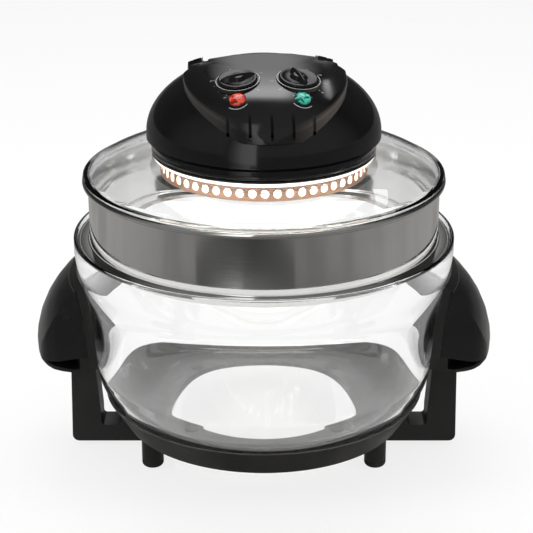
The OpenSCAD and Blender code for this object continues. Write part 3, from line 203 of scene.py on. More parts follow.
def object_point(nodes):
    return nodes.add("ShaderNodeTexCoord").outputs["Object"]


def new_material(name):
    material = bpy.data.materials.new(name)
    material.use_nodes = True
    return material, Nodes(material.node_tree)


def straight_ray(nodes):
    """The light path, and 1 for rays that reach the camera straight or through glass."""
    path = nodes.add("ShaderNodeLightPath")
    return path, nodes.math("MAXIMUM", path.outputs["Is Camera Ray"], path.outputs["Is Transmission Ray"])


# how bright the world is for soft light, and in reflections from in front of the object to behind it
WORLD_GLOW = 0.62
ROOM_GLOW = ((0.3, 0.26), (0.5, 0.16), (0.64, 0.035))


def make_world():
    world = bpy.data.worlds.new("studio")
    bpy.context.scene.world = world
    world.use_nodes = True
    nodes = Nodes(world.node_tree)
    path, straight = straight_ray(nodes)
    direction = nodes.add("ShaderNodeTexCoord").outputs["Generated"]
    split = nodes.add("ShaderNodeSeparateXYZ", {0: direction})
    depth = nodes.math("ADD", nodes.math("MULTIPLY", split.outputs[1], 0.5), 0.5)
    shown = nodes.mix(path.outputs["Is Glossy Ray"], grey(WORLD_GLOW), nodes.ramp(depth, *ROOM_GLOW))
    colour = nodes.mix(straight, shown, grey(1.0))
    background = nodes.add("ShaderNodeBackground", {"Color": colour, "Strength": 1.0})
    nodes.add("ShaderNodeOutputWorld", {"Surface": background.outputs[0]})


# how bright reflections see the floor: near the object, as shares of FLOOR_NEAR from its front (0) to its
# back (1) and in streaks, and beyond the distances in NEAR_END
FLOOR_NEAR = 0.36
FLOOR_TURN = ((0.05, 0.5), (0.3, 0.72), (0.55, 1.0))
FLOOR_STREAKS = ((0.38, 0.8), (0.52, 1.0))
FLOOR_FAR = 0.15
NEAR_END = (0.86, 0.95)
# share of the floor that is plain white where it is seen straight, so that the rest keeps the shadow
FLOOR_WHITE = 0.8
FLOOR_HALF = 30
FLOOR_Z = -0.0003


def floor_glow(nodes):
    """Brightness of the floor in reflections, by direction round the object and by distance from it."""
    away = nodes.add("ShaderNodeVectorMath", {0: object_point(nodes)}, operation="LENGTH").outputs["Value"]
    place = nodes.add("ShaderNodeSeparateXYZ", {0: object_point(nodes)})
    aside = nodes.math("ARCTAN2", nodes.math("ABSOLUTE", place.outputs[0]),
                       nodes.math("MULTIPLY", place.outputs[1], -1.0))
    turned = nodes.ramp(nodes.math("DIVIDE", aside, math.pi),
                        *[(turn, FLOOR_NEAR * share) for turn, share in FLOOR_TURN])
    around = nodes.add("ShaderNodeCombineXYZ", {0: nodes.math("ARCTAN2", place.outputs[0], place.outputs[1]),
                                                1: nodes.math("MULTIPLY", away, 1.6)})
    streaks = nodes.add("ShaderNodeTexNoise", {"Vector": around.outputs[0], "Scale": 3.4, "Detail": 2.0})
    near = nodes.math("MULTIPLY", turned, nodes.ramp(streaks.outputs[0], *FLOOR_STREAKS))
    start, end = NEAR_END
    glow = nodes.add("ShaderNodeMapRange", {0: away, 1: start, 2: end, 3: near, 4: FLOOR_FAR})
    return glow.outputs[0]


def floor_material():
    material, nodes = new_material("floor")
    path, straight = straight_ray(nodes)
    grain = nodes.add("ShaderNodeTexNoise", {"Scale": 3.0})
    tone = nodes.ramp(grain.outputs[0], (0.3, 0.8), (0.7, 0.82))
    paint = nodes.add("ShaderNodeBsdfDiffuse", {"Color": tone})
    white = nodes.add("ShaderNodeEmission", {"Color": grey(1.0), "Strength": 1.0})
    dim = nodes.add("ShaderNodeEmission", {"Color": (1.0, 0.99, 0.97, 1), "Strength": floor_glow(nodes)})
    share = nodes.math("MULTIPLY", straight, FLOOR_WHITE)
    lit = nodes.add("ShaderNodeMixShader", {0: share, 1: paint.outputs[0], 2: white.outputs[0]})
    # a ray that passes through glass counts as glossy too, so it is taken off
    mirrored = nodes.math("SUBTRACT", path.outputs["Is Glossy Ray"], straight, clamp=True)
    shader = nodes.add("ShaderNodeMixShader", {0: mirrored, 1: lit.outputs[0], 2: dim.outputs[0]})
    nodes.add("ShaderNodeOutputMaterial", {"Surface": shader.outputs[0]})
    return material


def make_floor():
    bm = bmesh.new()
    bmesh.ops.create_grid(bm, x_segments=8, y_segments=8, size=FLOOR_HALF)
    mesh = bpy.data.meshes.new("floor")
    bm.to_mesh(mesh)
    floor = bpy.data.objects.new("floor", mesh)
    floor.location.z = FLOOR_Z
    mesh.materials.append(floor_material())
    bpy.context.scene.collection.objects.link(floor)


def studio_card(name, corners, start, end, glow, sides=None):
    """A card that only reflections see. Its glow runs through (place, radiance) pairs from start to end,
    and fades across X between the two distances in sides."""
    mesh = bpy.data.meshes.new(name)
    mesh.from_pydata(corners, [], [range(len(corners))])
    card = bpy.data.objects.new(name, mesh)
    bpy.context.scene.collection.objects.link(card)
    card.visible_camera = card.visible_diffuse = card.visible_transmission = card.visible_shadow = False
    material, nodes = new_material(name)
    along = Vector(end) - Vector(start)
    point = nodes.add("ShaderNodeVectorMath", {0: object_point(nodes), 1: start}, operation="SUBTRACT")
    share = nodes.add("ShaderNodeVectorMath", {0: point.outputs[0], 1: along / along.length_squared},
                      operation="DOT_PRODUCT")
    peak = max(radiance for place, radiance in glow)
    tone = nodes.ramp(share.outputs["Value"], *[(place, radiance / peak) for place, radiance in glow])
    strength = peak
    if sides:
        across = nodes.add("ShaderNodeSeparateXYZ", {0: object_point(nodes)}).outputs[0]
        fade = nodes.add("ShaderNodeMapRange", {0: nodes.math("ABSOLUTE", across), 1: sides[0], 2: sides[1],
                                                3: peak, 4: 0.0}, interpolation_type="SMOOTHSTEP")
        strength = fade.outputs[0]
    light = nodes.add("ShaderNodeEmission", {"Color": tone, "Strength": strength})
    nodes.add("ShaderNodeOutputMaterial", {"Surface": light.outputs[0]})
    material.cycles.emission_sampling = "NONE"
    mesh.materials.append(material)


ROOF_Z = 1.7
WALL_Y = 3.2


def level(z, *corners):
    return [(x, y, z) for x, y in corners]


def upright(left, right, low_z, high_z):
    return [(*left, low_z), (*right, low_z), (*right, high_z), (*left, high_z)]


def make_cards():
    # a softbox above, brightest over the object, a lit wall behind and a softbox at the right
    studio_card("roof_softbox", level(ROOF_Z, (-0.62, 0.0), (0.62, 0.0), (0.62, WALL_Y), (-0.62, WALL_Y)),
                (0, 0, ROOF_Z), (0, WALL_Y, ROOF_Z),
                ((0.0, 0.1), (0.035, 1.6), (0.08, 6.4), (0.17, 6.0), (0.34, 3.2), (0.55, 1.6), (0.7, 1.1),
                 (1.0, 0.9)), sides=(0.2, 0.56))
    studio_card("back_wall", upright((-0.9, WALL_Y), (0.9, WALL_Y), 0.7, ROOF_Z),
                (0, 0, 0.7), (0, 0, ROOF_Z), ((0.0, 0.0), (0.3, 0.25), (1.0, 0.8)), sides=(0.4, 0.9))
    studio_card("right_softbox", level(ROOF_Z, (0.68, 1.6), (0.86, 1.6), (1.12, 0.6), (0.92, 0.6)),
                (0, 0.6, ROOF_Z), (0, 1.6, ROOF_Z), ((0.0, 2.5), (0.5, 4.2), (1.0, 3.0)))
    # a tall window at the front left, and its light on the floor
    studio_card("left_window", upright((-0.75, -1.06), (-0.13, -1.12), 0.0, 2.2),
                (-0.75, 0, 0), (-0.13, 0, 0), ((0.0, 0.1), (0.3, 0.5), (0.6, 1.3), (1.0, 1.6)))
    studio_card("window_light", level(0.002, (-0.2, -0.945), (-0.54, -0.8), (-0.671, -0.995), (-0.25, -1.09)),
                (-0.6, 0, 0), (-0.2, 0, 0), ((0.0, 0.1), (0.5, 0.7), (1.0, 1.4)))
    # a dark flag on the floor, which the polished ring mirrors
    studio_card("floor_flag", level(0.001, (-0.281, -0.586), (-0.02, -0.654), (0.017, -0.754), (0.251, -0.79),
                                    (0.3, -0.93), (-0.62, -0.8), (-0.53, -0.63), (-0.276, -0.7)),
                (-0.42, 0, 0), (0.25, 0, 0), ((0.0, 0.09), (0.5, 0.05), (1.0, 0.09)))


def area_light(name, place, target, size, power):
    data = bpy.data.lights.new(name, "AREA")
    data.shape = "RECTANGLE"
    data.size, data.size_y = size
    data.energy = power
    light = bpy.data.objects.new(name, data)
    light.location = place
    light.rotation_euler = (Vector(target) - Vector(place)).to_track_quat("-Z", "Y").to_euler()
    light.visible_glossy = False
    bpy.context.scene.collection.objects.link(light)


def make_lights():
    middle = (0, 0, 0.2)
    area_light("top_softbox", (0.0, 0.6, 1.9), middle, (1.5, 0.9), 22)
    area_light("left_softbox", (-1.7, -0.7, 1.2), middle, (0.5, 1.3), 13)
    area_light("right_softbox", (1.8, -0.4, 1.0), middle, (0.45, 1.3), 11)


bpy.context.scene.view_settings.view_transform = "Standard"
make_world()
make_floor()
make_cards()
make_lights()


# ---------- materials ----------
def noise(nodes, scale, detail, vector=None):
    inputs = {"Vector": vector or object_point(nodes), "Scale": scale, "Detail": detail}
    return nodes.add("ShaderNodeTexNoise", inputs).outputs["Fac"]


def bump(nodes, height, distance):
    return nodes.add("ShaderNodeBump", {"Height": height, "Distance": distance, "Strength": 1.0}).outputs[0]


def principled(nodes, inputs):
    shader = nodes.add("ShaderNodeBsdfPrincipled", inputs)
    nodes.add("ShaderNodeOutputMaterial", {"Surface": shader.outputs[0]})


def shaded(colour, factor):
    return [min(1, c * factor) for c in colour] + [1]


def moulded(name, colour, rough, grain=900, grain_depth=0.00002, spread=0.25, shine=0.5):
    """Moulded plastic or rubber: a fine grain, cloudy gloss and a faint change of tone."""
    material, nodes = new_material(name)
    tone = nodes.ramp(noise(nodes, 14, 5), (0.35, shaded(colour, 1 - spread)),
                      (0.65, shaded(colour, 1 + spread)))
    gloss = nodes.ramp(noise(nodes, 30, 6), (0.3, rough * 0.85), (0.7, min(1, rough * 1.2)))
    principled(nodes, {"Base Color": tone, "Roughness": gloss, "Specular IOR Level": shine,
                       "Normal": bump(nodes, noise(nodes, grain, 2), grain_depth)})
    return material


GLASS_TINT = (0.992, 0.996, 0.993)
GLASS_IOR = 1.47


def clear_glass(name):
    """Clear tempered glass with the faintest cloudiness."""
    material, nodes = new_material(name)
    haze = nodes.ramp(noise(nodes, 9, 3), (0.4, 0.0), (0.8, 0.012))
    tone = nodes.ramp(noise(nodes, 4, 2), (0.3, shaded(GLASS_TINT, 1)), (0.7, shaded(GLASS_TINT, 0.995)))
    principled(nodes, {"Base Color": tone, "Roughness": haze, "IOR": GLASS_IOR, "Transmission Weight": 1.0})
    return material


def spun_metal(name, colour, rough, line_depth=0.000004, lines=2600):
    """Metal finished round the upright axis, so its fine lines run level round the piece."""
    material, nodes = new_material(name)
    split = nodes.add("ShaderNodeSeparateXYZ", {0: object_point(nodes)})
    around = nodes.math("ARCTAN2", split.outputs[1], split.outputs[0])
    radius = nodes.add("ShaderNodeVectorMath", {0: object_point(nodes)}, operation="LENGTH")
    line = nodes.add("ShaderNodeCombineXYZ", {
        0: nodes.math("MULTIPLY", around, 0.6),
        1: nodes.math("MULTIPLY", split.outputs[2], lines),
        2: nodes.math("MULTIPLY", radius.outputs["Value"], lines * 0.4)})
    lines_noise = noise(nodes, 1.0, 3, line.outputs[0])
    tone = nodes.ramp(noise(nodes, 11, 4), (0.3, shaded(colour, 0.88)), (0.7, shaded(colour, 1)))
    gloss = nodes.ramp(lines_noise, (0.3, rough * 0.75), (0.7, rough * 1.3))
    principled(nodes, {"Base Color": tone, "Roughness": gloss, "Metallic": 1.0,
                       "Normal": bump(nodes, lines_noise, line_depth)})
    return material


def glowing(name, colour, strength, rough=0.4):
    """A lamp's hot surface with a slightly uneven glow, or a painted glow that stands for lamp light falling on a
    surface that is no lamp.
    """
    material, nodes = new_material(name)
    tone = nodes.ramp(noise(nodes, 90, 3), (0.3, shaded(colour, 0.85)), (0.7, shaded(colour, 1)))
    principled(nodes, {"Base Color": tone, "Roughness": rough, "Emission Color": tone,
                       "Emission Strength": strength})
    return material


def gem(name, colour):
    """Clear coloured plastic with a little light behind it from its lamp; its facets are painted darker and
    lighter at random, a painted sparkle and shade inside the lens.
    """
    material, nodes = new_material(name)
    cells = nodes.add("ShaderNodeTexVoronoi", {"Vector": object_point(nodes), "Scale": 420.0})
    split = nodes.add("ShaderNodeSeparateXYZ", {0: cells.outputs["Color"]})
    painted_sparkle = [c * 0.9 + 0.06 for c in colour] + [1]
    # painted sparkle and shade: facets run from dark to bright, the brightest paled towards white as a painted
    # glint
    tone = nodes.ramp(split.outputs[0], (0.1, shaded(colour, 0.18)), (0.6, shaded(colour, 1)), (0.95, painted_sparkle))
    principled(nodes, {"Base Color": tone, "Roughness": 0.06, "Emission Color": tone,
                       "Emission Strength": 0.12, "Specular IOR Level": 0.35})
    return material


def bordered(name, colour, rough, highlight_colour):
    """Gloss plastic with a painted highlight: its rounded border is painted a shade lighter and warmer, most at
    the right, where a softbox is mirrored.
    """
    material = moulded(name, colour, rough, 300, 0.000003)
    nodes = Nodes(material.node_tree, keep=True)
    shader = next(n for n in nodes.tree.nodes if n.type == "BSDF_PRINCIPLED")
    tone = shader.inputs["Base Color"].links[0].from_socket
    coords = nodes.add("ShaderNodeTexCoord")
    normal = nodes.add("ShaderNodeSeparateXYZ", {0: coords.outputs["Normal"]})
    place = nodes.add("ShaderNodeSeparateXYZ", {0: coords.outputs["Object"]})
    # painted highlight: the shoulder's steep faces are painted lighter, on both sides and most at the right, where
    # softboxes are mirrored
    highlight_on_slope = nodes.ramp(normal.outputs[2], (0.0, 0.55), (0.2, 1), (0.5, 0.35), (0.62, 0))
    across = nodes.math("ADD", nodes.math("MULTIPLY", place.outputs[0], 7.0), 0.5)
    aside = nodes.ramp(across, (0.0, 0.5), (0.22, 0.45), (0.36, 0.05), (0.66, 0.05), (0.86, 1))
    share = nodes.math("MULTIPLY", highlight_on_slope, aside)
    nodes.tree.links.new(nodes.mix(share, tone, [*highlight_colour, 1]), shader.inputs["Base Color"])
    return material


# each material's kind, then its settings in the order of that kind's parameters
MATERIALS = {
    "cradle_plastic": (moulded, (0.0125, 0.0115, 0.011), 0.42, 700, 0.00003),
    "grip_plastic": (moulded, (0.009, 0.0085, 0.0085), 0.24, 500, 0.00001),
    "soft_rubber": (moulded, (0.02, 0.02, 0.02), 0.8, 600, 0.00004),
    "bowl_glass": (clear_glass,),
    "lid_clear_glass": (clear_glass,),
    "polished_steel": (spun_metal, (0.8, 0.795, 0.78), 0.09),
    "head_plastic": (moulded, (0.0055, 0.0055, 0.006), 0.1, 300, 0.000003),
    # the panel's last setting is the colour of its painted border highlight
    "panel_plastic": (bordered, (0.0055, 0.0055, 0.006), 0.14, (0.1, 0.088, 0.078)),
    "knob_plastic": (moulded, (0.005, 0.005, 0.0055), 0.14, 300, 0.000003, 0.25, 0.25),
    "red_plastic": (gem, (0.62, 0.045, 0.015)),
    "green_plastic": (gem, (0.025, 0.4, 0.29)),
    # the guard's pinkish tone is partly heat tint of the steel and partly a painted warm reflection of the lamp's
    # glow
    "guard_steel": (spun_metal, (0.62, 0.42, 0.34), 0.32),
    "bright_steel": (spun_metal, (0.66, 0.66, 0.65), 0.25),
    "zinc_steel": (spun_metal, (0.45, 0.45, 0.46), 0.35),
    "quartz": (glowing, (1.0, 0.9, 0.75), 30.0),
    "tungsten": (glowing, (1.0, 0.72, 0.38), 30.0),
    # painted light: the lamp's light on the plate and clamp, painted as a glow
    "lit_plate": (glowing, (1.0, 0.95, 0.88), 2.2, 0.5),
    "white_ceramic": (moulded, (0.8, 0.77, 0.7), 0.6, 400, 0.00005, 0.06),
    "fibre_board": (moulded, (0.66, 0.62, 0.52), 0.9, 500, 0.0001, 0.12),
    "motor_iron": (spun_metal, (0.2, 0.19, 0.18), 0.5, 0.00003, 1800),
    "copper_wire": (spun_metal, (0.72, 0.33, 0.18), 0.3, 0.00006, 900),
    "turned_brass": (spun_metal, (0.76, 0.56, 0.24), 0.25),
    "fan_plastic": (moulded, (0.05, 0.055, 0.06), 0.5),
    "control_metal": (spun_metal, (0.6, 0.56, 0.46), 0.4),
    "lamp_glow": (glowing, (1.0, 0.5, 0.25), 1.5),
    "fuse_metal": (spun_metal, (0.7, 0.7, 0.7), 0.3),
    "wire_sleeve": (moulded, (0.42, 0.05, 0.035), 0.5),
    "inlet_plastic": (moulded, (0.02, 0.02, 0.021), 0.45),
    "plunger_plastic": (moulded, (0.45, 0.04, 0.03), 0.4),
    "print_white": (moulded, (0.42, 0.42, 0.4), 0.5, 400, 0.00001, 0.05),
}
M = {name: kind(name, *settings) for name, (kind, *settings) in MATERIALS.items()}
SLOT = {row["node"]: row["material_slot"] for row in frame["record"]["subparts"]}
BODY = {n: body for body, members in frame["record"]["behaviour"]["bodies"].items() for n in members}


def dress(obj, slot):
    obj.data.materials.clear()
    obj.data.materials.append(M[slot])


for node_name, node_object in frame["nodes"].items():
    dress(node_object, SLOT[node_name])
# painted light: the plate under the lamp and the clamp round it are given a glow that stands in for the lamp's
# light falling on them
for node_name in ("guard_plate", "glass_clamp"):
    dress(frame["nodes"][node_name], "lit_plate")


# ---------- mesh tools ----------
def add_piece(name, bm, node=None, body=None, slot=None, material=None, angle=32):
    """Makes a piece from a bmesh, smooth but for edges sharper than angle, and lets it ride. A piece with a
    node stands for it, and takes its body and slot."""
    mesh = bpy.data.meshes.new(name)
    bm.to_mesh(mesh)
    bm.free()
    mesh.shade_smooth()
    mesh.set_sharp_from_angle(angle=math.radians(angle))
    piece = bpy.data.objects.new(name, mesh)
    bpy.context.scene.collection.objects.link(piece)
    slot = slot or SLOT[node]
    mesh.materials.append(M[material or slot])
    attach(piece, body or BODY[node])
    if node:
        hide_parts(node)
    return piece


def arc(centre, radius, start, end, steps):
    """Points on an arc from start to end, in degrees."""
    return [(centre[0] + radius * math.cos(math.radians(start + (end - start) * i / steps)),
             centre[1] + radius * math.sin(math.radians(start + (end - start) * i / steps)))
            for i in range(steps + 1)]


def cubic(points, t):
    """The point at t on the curve of four points."""
    k = ((1 - t) ** 3, 3 * t * (1 - t) ** 2, 3 * t * t * (1 - t), t ** 3)
    return Vector([sum(w * p[j] for w, p in zip(k, points)) for j in (0, 1)])


def bezier(points, steps):
    return [tuple(cubic(points, i / steps)) for i in range(steps + 1)]


def stitch(bm, lower, upper):
    """Joins two closed rings of corners by faces. A ring of one corner is a tip."""
    count = max(len(lower), len(upper))
    if count == 1:
        return []
    made = []
    for k in range(count):
        n = (k + 1) % count
        corners = (lower[k % len(lower)], lower[n % len(lower)], upper[n % len(upper)], upper[k % len(upper)])
        made.append(bm.faces.new(tuple(dict.fromkeys(corners))))
    return made


def lathe(profile, steps=192, place=Matrix.Identity(4), bm=None):
    """A bmesh of a closed outline (r, z), in millimetres, turned round the upright axis."""
    bm = bm or bmesh.new()
    rings = []
    for r, z in profile:
        angles = [2 * math.pi * k / steps for k in range(steps if r else 1)]
        rings.append([bm.verts.new(place @ Vector((r * MM * math.cos(a), r * MM * math.sin(a), z * MM)))
                      for a in angles])
    made = []
    for lower, upper in zip(rings, rings[1:] + rings[:1]):
        made += stitch(bm, lower, upper)
    bmesh.ops.recalc_face_normals(bm, faces=made)
    return bm


# corners of a CAD surface that lie closer than this are one, in metres
WELD_GAP = 2e-6


def welded(node):
    """A bmesh of a CAD node's own surface, with its seams closed and its flat faces joined."""
    source = frame["nodes"][node].data
    mesh = bpy.data.meshes.new("scratch")
    mesh.from_pydata([v.co[:] for v in source.vertices], [], [p.vertices[:] for p in source.polygons])
    bm = bmesh.new()
    bm.from_mesh(mesh)
    bpy.data.meshes.remove(mesh)
    bmesh.ops.remove_doubles(bm, verts=bm.verts, dist=WELD_GAP)
    bmesh.ops.dissolve_degenerate(bm, dist=WELD_GAP, edges=bm.edges)
    bmesh.ops.dissolve_limit(bm, angle_limit=math.radians(0.5), verts=bm.verts, edges=bm.edges)
    return bm


def skin(node, edge, angle=32):
    """The CAD node's own shape with smooth shading and softened edges."""
    piece = add_piece(node + "_skin", welded(node), node=node, angle=angle)
    bevel = piece.modifiers.new("edges", "BEVEL")
    bevel.width = edge * MM
    bevel.segments = 2
    bevel.limit_method = "ANGLE"
    bevel.angle_limit = math.radians(angle + 8)
    bevel.harden_normals = True


# ---------- glass bowl, extender ring and lid glass ----------
def bowl_outline():
    lean = math.radians(CORNER_LEAN)
    centre = (WAIST_R - CORNER_R * math.cos(lean), BOWL_Z + CORNER_R)
    shoulder = (RIM_R - 7.3, RIM_Z - 41)
    rim_low = (RIM_R - 0.9, RIM_Z - 18)
    ledge_r, mouth_r = RIM_R - 3.4, RIM_R - 11.5
    lip = LIP_H / 2 - 0.3
    foot_z = BOWL_Z + WALL_FOOT + 2
    return (
        [(0, BOWL_Z)]
        + arc(centre, CORNER_R, -90, -CORNER_LEAN, 24)
        + bezier([(WAIST_R, foot_z), (WAIST_R + 4, RIM_Z - 84), (shoulder[0] - 4, RIM_Z - 64), shoulder], 14)
        + bezier([(shoulder[0] + 1.6, shoulder[1] + 6), (shoulder[0] + 3.6, RIM_Z - 28),
                  (rim_low[0] - 0.7, RIM_Z - 25), rim_low], 8)
        + [(RIM_R, RIM_Z - 9)]
        + arc((RIM_R - lip, RIM_Z + LIP_H - lip), lip, 0, 90, 6)
        + arc((ledge_r + lip, RIM_Z + LIP_H - lip), lip, 90, 180, 6)
        + [(ledge_r, RIM_Z)]
        + arc((mouth_r + 1.5, RIM_Z - 1.5), 1.5, 90, 180, 6)
        + bezier([(mouth_r, RIM_Z - 22), (mouth_r - 1.2, RIM_Z - 50),
                  (WAIST_R + 1 - GLASS_T, RIM_Z - 76), (WAIST_R - GLASS_T, foot_z)], 14)
        + arc(centre, CORNER_R - GLASS_T, -CORNER_LEAN, -90, 24)
        + [(0, BOWL_Z + GLASS_T)])


def ring_outline():
    z = RIM_Z + SEAT_GAP
    bead_x = EXT_R + BEAD_R - 0.3
    return (
        [(SKIRT_R - SHEET_T, z - SKIRT_H), (SKIRT_R, z - SKIRT_H), (SKIRT_R, z - 0.8)]
        + arc((SKIRT_R + 0.8, z - 0.8), 0.8, 180, 90, 4)
        + arc((FLANGE_R - 0.5, z + 0.5), 0.5, -90, 90, 8)
        + arc((EXT_R + 1.4, z + 2.4), 1.4, -90, -180, 6)
        + [(EXT_R, z + BEAD_Z - 3.2)]
        + arc((bead_x, z + BEAD_Z), BEAD_R, -150, 165, 22)
        + [(EXT_R - SHEET_T, z + BEAD_Z - 1.2), (EXT_R - SHEET_T, z + 1.6)]
        + arc((EXT_R - SHEET_T - 0.6, z + 1.6), 0.6, 0, -90, 4))


def lid_outline():
    low = RIM_Z + BEAD_Z + BEAD_R - HEAD_Z + SEAT_GAP
    top = -GASKET_T
    inside = top - LID_GLASS_T
    land = LID_HOLE_R + 5.5
    seat = EXT_R - SHEET_T - 1
    return (
        bezier([(EXT_R - 3, low + 1), (EXT_R - 16, low + 10), (land + 20, inside), (land, inside)], 24)
        + [(LID_HOLE_R + 0.6, inside), (LID_HOLE_R, inside + 0.6)]
        + [(LID_HOLE_R, top - 0.6), (LID_HOLE_R + 0.6, top)]
        + bezier([(land, top), (land + 20, top), (EXT_R - 14, low + 10 + LID_GLASS_T),
                  (EXT_R - 0.5, low + LID_GLASS_T + 0.6)], 24)
        + arc((LID_EDGE_R - 1.8, low + 1.8), 1.8, 70, -70, 8)
        + [(seat, low), (seat, low - 3.5), (seat - 3, low - 3.5)])


def make_glass_and_ring():
    add_piece("bowl", lathe(bowl_outline()), node="glass_bowl")
    add_piece("ring", lathe(ring_outline()), node="extender_ring", angle=50)
    add_piece("lid", lathe(lid_outline(), place=HEAD), node="lid_glass")


make_glass_and_ring()


# ---------- skins of the hard pieces ----------
for name in ("base_ring", "left_arm", "right_arm", "lower_housing"):
    skin(name, 0.5)
for name in ("left_grip", "right_grip"):
    skin(name, 0.7, 36)
for name in ("rubber_feet", "heater_guard", "power_inlet"):
    skin(name, 0.2)
skin("head_cover", 0.3)


# the handle's hubs: where they start, their width and radius, and how far their tops are lowered, with
# HUB_TILT more at the outer end. Behind the pivot the lowering fades out over HUB_FADE, up to HUB_REACH
HUB_IN = 49.3
HUB_W = 15.0
HUB_R = 9.5
HUB_DROP = 2.6
HUB_TILT = 3.4
HUB_REACH = 32
HUB_FADE = 16
# the arms, from ARM_START behind the pivot: how far they stand above the dome, and more past ARM_REAR
ARM_START = 3
ARM_PROUD = 2.6
ARM_REAR = 52
ARM_SLOPE = 0.2


def make_handle():
    """The handle's own shape, its hubs rounded off like soft lumps and its arms lying low behind them."""
    back = HEAD.inverted()
    pivot = back @ Vector(joint("handle_fold")["pos_m"]) / MM
    bm = welded("carry_handle")
    for vert in bm.verts:
        p = (back @ vert.co) / MM
        up = p.z - pivot.z
        if abs(p.x) < HUB_IN - 1 or up < 0:
            continue
        out = unit((abs(p.x) - HUB_IN) / HUB_W)
        near = unit((pivot.y + HUB_REACH - p.y) / HUB_FADE)
        p.z -= near * (HUB_DROP + HUB_TILT * out * out) * min(1.0, up / HUB_R) ** 2
        if p.y > pivot.y + ARM_START:
            p.z = min(p.z, dome_height(p.x, p.y) + ARM_PROUD + max(0.0, p.y - ARM_REAR) * ARM_SLOPE)
        vert.co = HEAD @ (p * MM)
    add_piece("carry_handle_skin", bm, node="carry_handle")


make_handle()


# ---------- control panel ----------
# the line (y, z) along the panel's middle, from the rear to the front, and its rise behind that
PANEL_LINE = ((-6.8, DOME_TOP + 2.3), (54.3 - DOME_R, DOME_TOP - 2.4),
              (3.9 - DOME_R, DOME_TOP - 7.6), (PANEL_FRONT, DOME_TOP - 45.9))
PANEL_RISE = 2.0
PANEL_REAR = 12.0
CROWN_Z = PANEL_LINE[0][1] - CROWN_R
# the crease between crown and dome is eased over this height, and the shoulder is rounded by PANEL_ROUND
PANEL_EASE = 1.6
PANEL_ROUND = 3.4
SHOULDER_STEPS = 8
# the face's rings, as shares of the way out from PANEL_MIDDLE, closest together at the shoulder
PANEL_MIDDLE = Vector((0, -45))
FACE_SHARES = [0.985, 0.965, 0.94, 0.91] + [0.88 - 0.055 * k for k in range(16)]


def line_height(y):
    """Height of the panel's line along the middle at y, by halving."""
    if y > PANEL_LINE[0][0]:
        return PANEL_LINE[0][1] + PANEL_RISE * (y - PANEL_LINE[0][0]) / (PANEL_REAR - PANEL_LINE[0][0])
    low_t, high_t = 0.0, 1.0
    for _ in range(30):
        t = (low_t + high_t) / 2
        if cubic(PANEL_LINE, t).x > y:
            low_t = t
        else:
            high_t = t
    return cubic(PANEL_LINE, high_t).y


def panel_height(x, y):
    """Height of the panel's outer face: its crown, held to the dome, with the crease between them eased."""
    crown = CROWN_Z + math.sqrt((line_height(y) - CROWN_Z) ** 2 - x * x)
    dome = dome_height(x, y, PANEL_PROUD)
    gap = (crown - dome) / PANEL_EASE
    if abs(gap) > 1:
        return min(crown, dome)
    return min(crown, dome) - PANEL_EASE * (1 - abs(gap)) ** 2 / 4


def panel_edge(inset):
    """The panel's outline seen from above, from its rear middle by the right side and round."""
    notch_r, corner_r, steps = 1.2, 6.2, 44
    side = [(0, 5 - inset), (24, 5 - inset), (46 - inset, 5 - inset)]
    side += arc((46.4 - inset, 3.6 - inset), notch_r, 80, 0, 4)
    side += [(47.6 - inset, 1 - inset), (47.6 - inset, -2.6 - inset * 0.2)]
    side += arc((48.8 - inset, -2.6 - inset * 0.2), notch_r, 180, 270, 4)
    side += arc((63.3 - inset, -10), corner_r, 90, 0, 10)
    front = ((69.5 - inset, -12), (71 - inset, -58 + inset * 0.6), (42 - inset * 0.7, 1.9 - DOME_R + inset),
             (0, PANEL_FRONT + inset))
    side += bezier(front, steps)[1:]
    return side + [(-x, y) for x, y in reversed(side[1:-1])]


def on_panel(x, t):
    """Where something stands on the panel: x from the middle, t along the panel's line, Z off its face."""
    step = 0.001
    q, ahead, behind = (cubic(PANEL_LINE, place) for place in (t, t + step, t - step))
    tilt = math.atan2(ahead.y - behind.y, ahead.x - behind.x) + math.pi
    turn = math.asin(x / (q.y - CROWN_Z))
    return (HEAD @ Matrix.Translation((0, 0, CROWN_Z * MM)) @ Matrix.Rotation(turn, 4, "Y")
            @ Matrix.Translation((0, q.x * MM, (q.y - CROWN_Z) * MM)) @ Matrix.Rotation(tilt, 4, "X"))


def panel_foot(x, y):
    """Height of the panel's low edge, which is sunk in the dome where it stands over it."""
    return max(PANEL_LOW, dome_height(x, y) - 0.8) if math.hypot(x, y) < DOME_R else PANEL_LOW


def panel_shoulder(angle):
    """A ring (x, y, z) of the rounded shoulder, from the side wall at 0 to the face at a quarter turn. It is
    rounded less where the wall is low, and at the rear."""
    ring = []
    for x, y in panel_edge(PANEL_ROUND * (1 - math.cos(angle))):
        top = panel_height(x, y)
        wall = unit((top - panel_foot(x, y)) / 9)
        drop = 0.2 + 0.6 * unit((-8 - y) / 8)
        ring.append((x, y, top - wall * PANEL_ROUND * drop * (1 - math.sin(angle))))
    return ring


def panel_solid():
    """A closed pillow: a low edge sunk in the dome, a rounded shoulder and a smooth face."""
    rows = [[(x, y, panel_foot(x, y) - 1.5 * (panel_foot(x, y) > PANEL_LOW)) for x, y in panel_edge(1.2)],
            [(x, y, panel_foot(x, y)) for x, y in panel_edge(0)]]
    rows += [panel_shoulder(math.pi / 2 * step / SHOULDER_STEPS) for step in range(SHOULDER_STEPS + 1)]
    face = [Vector(p) for p in panel_edge(PANEL_ROUND)]
    for share in FACE_SHARES:
        spots = [PANEL_MIDDLE + (p - PANEL_MIDDLE) * share for p in face]
        rows.append([(q.x, q.y, panel_height(q.x, q.y)) for q in spots])
    bm = bmesh.new()
    rings = [[bm.verts.new(HEAD @ (Vector(p) * MM)) for p in row] for row in rows]
    for lower, upper in zip(rings, rings[1:]):
        stitch(bm, lower, upper)
    bm.faces.new(rings[0])
    bm.faces.new(rings[-1])
    bmesh.ops.recalc_face_normals(bm, faces=bm.faces)
    return bm


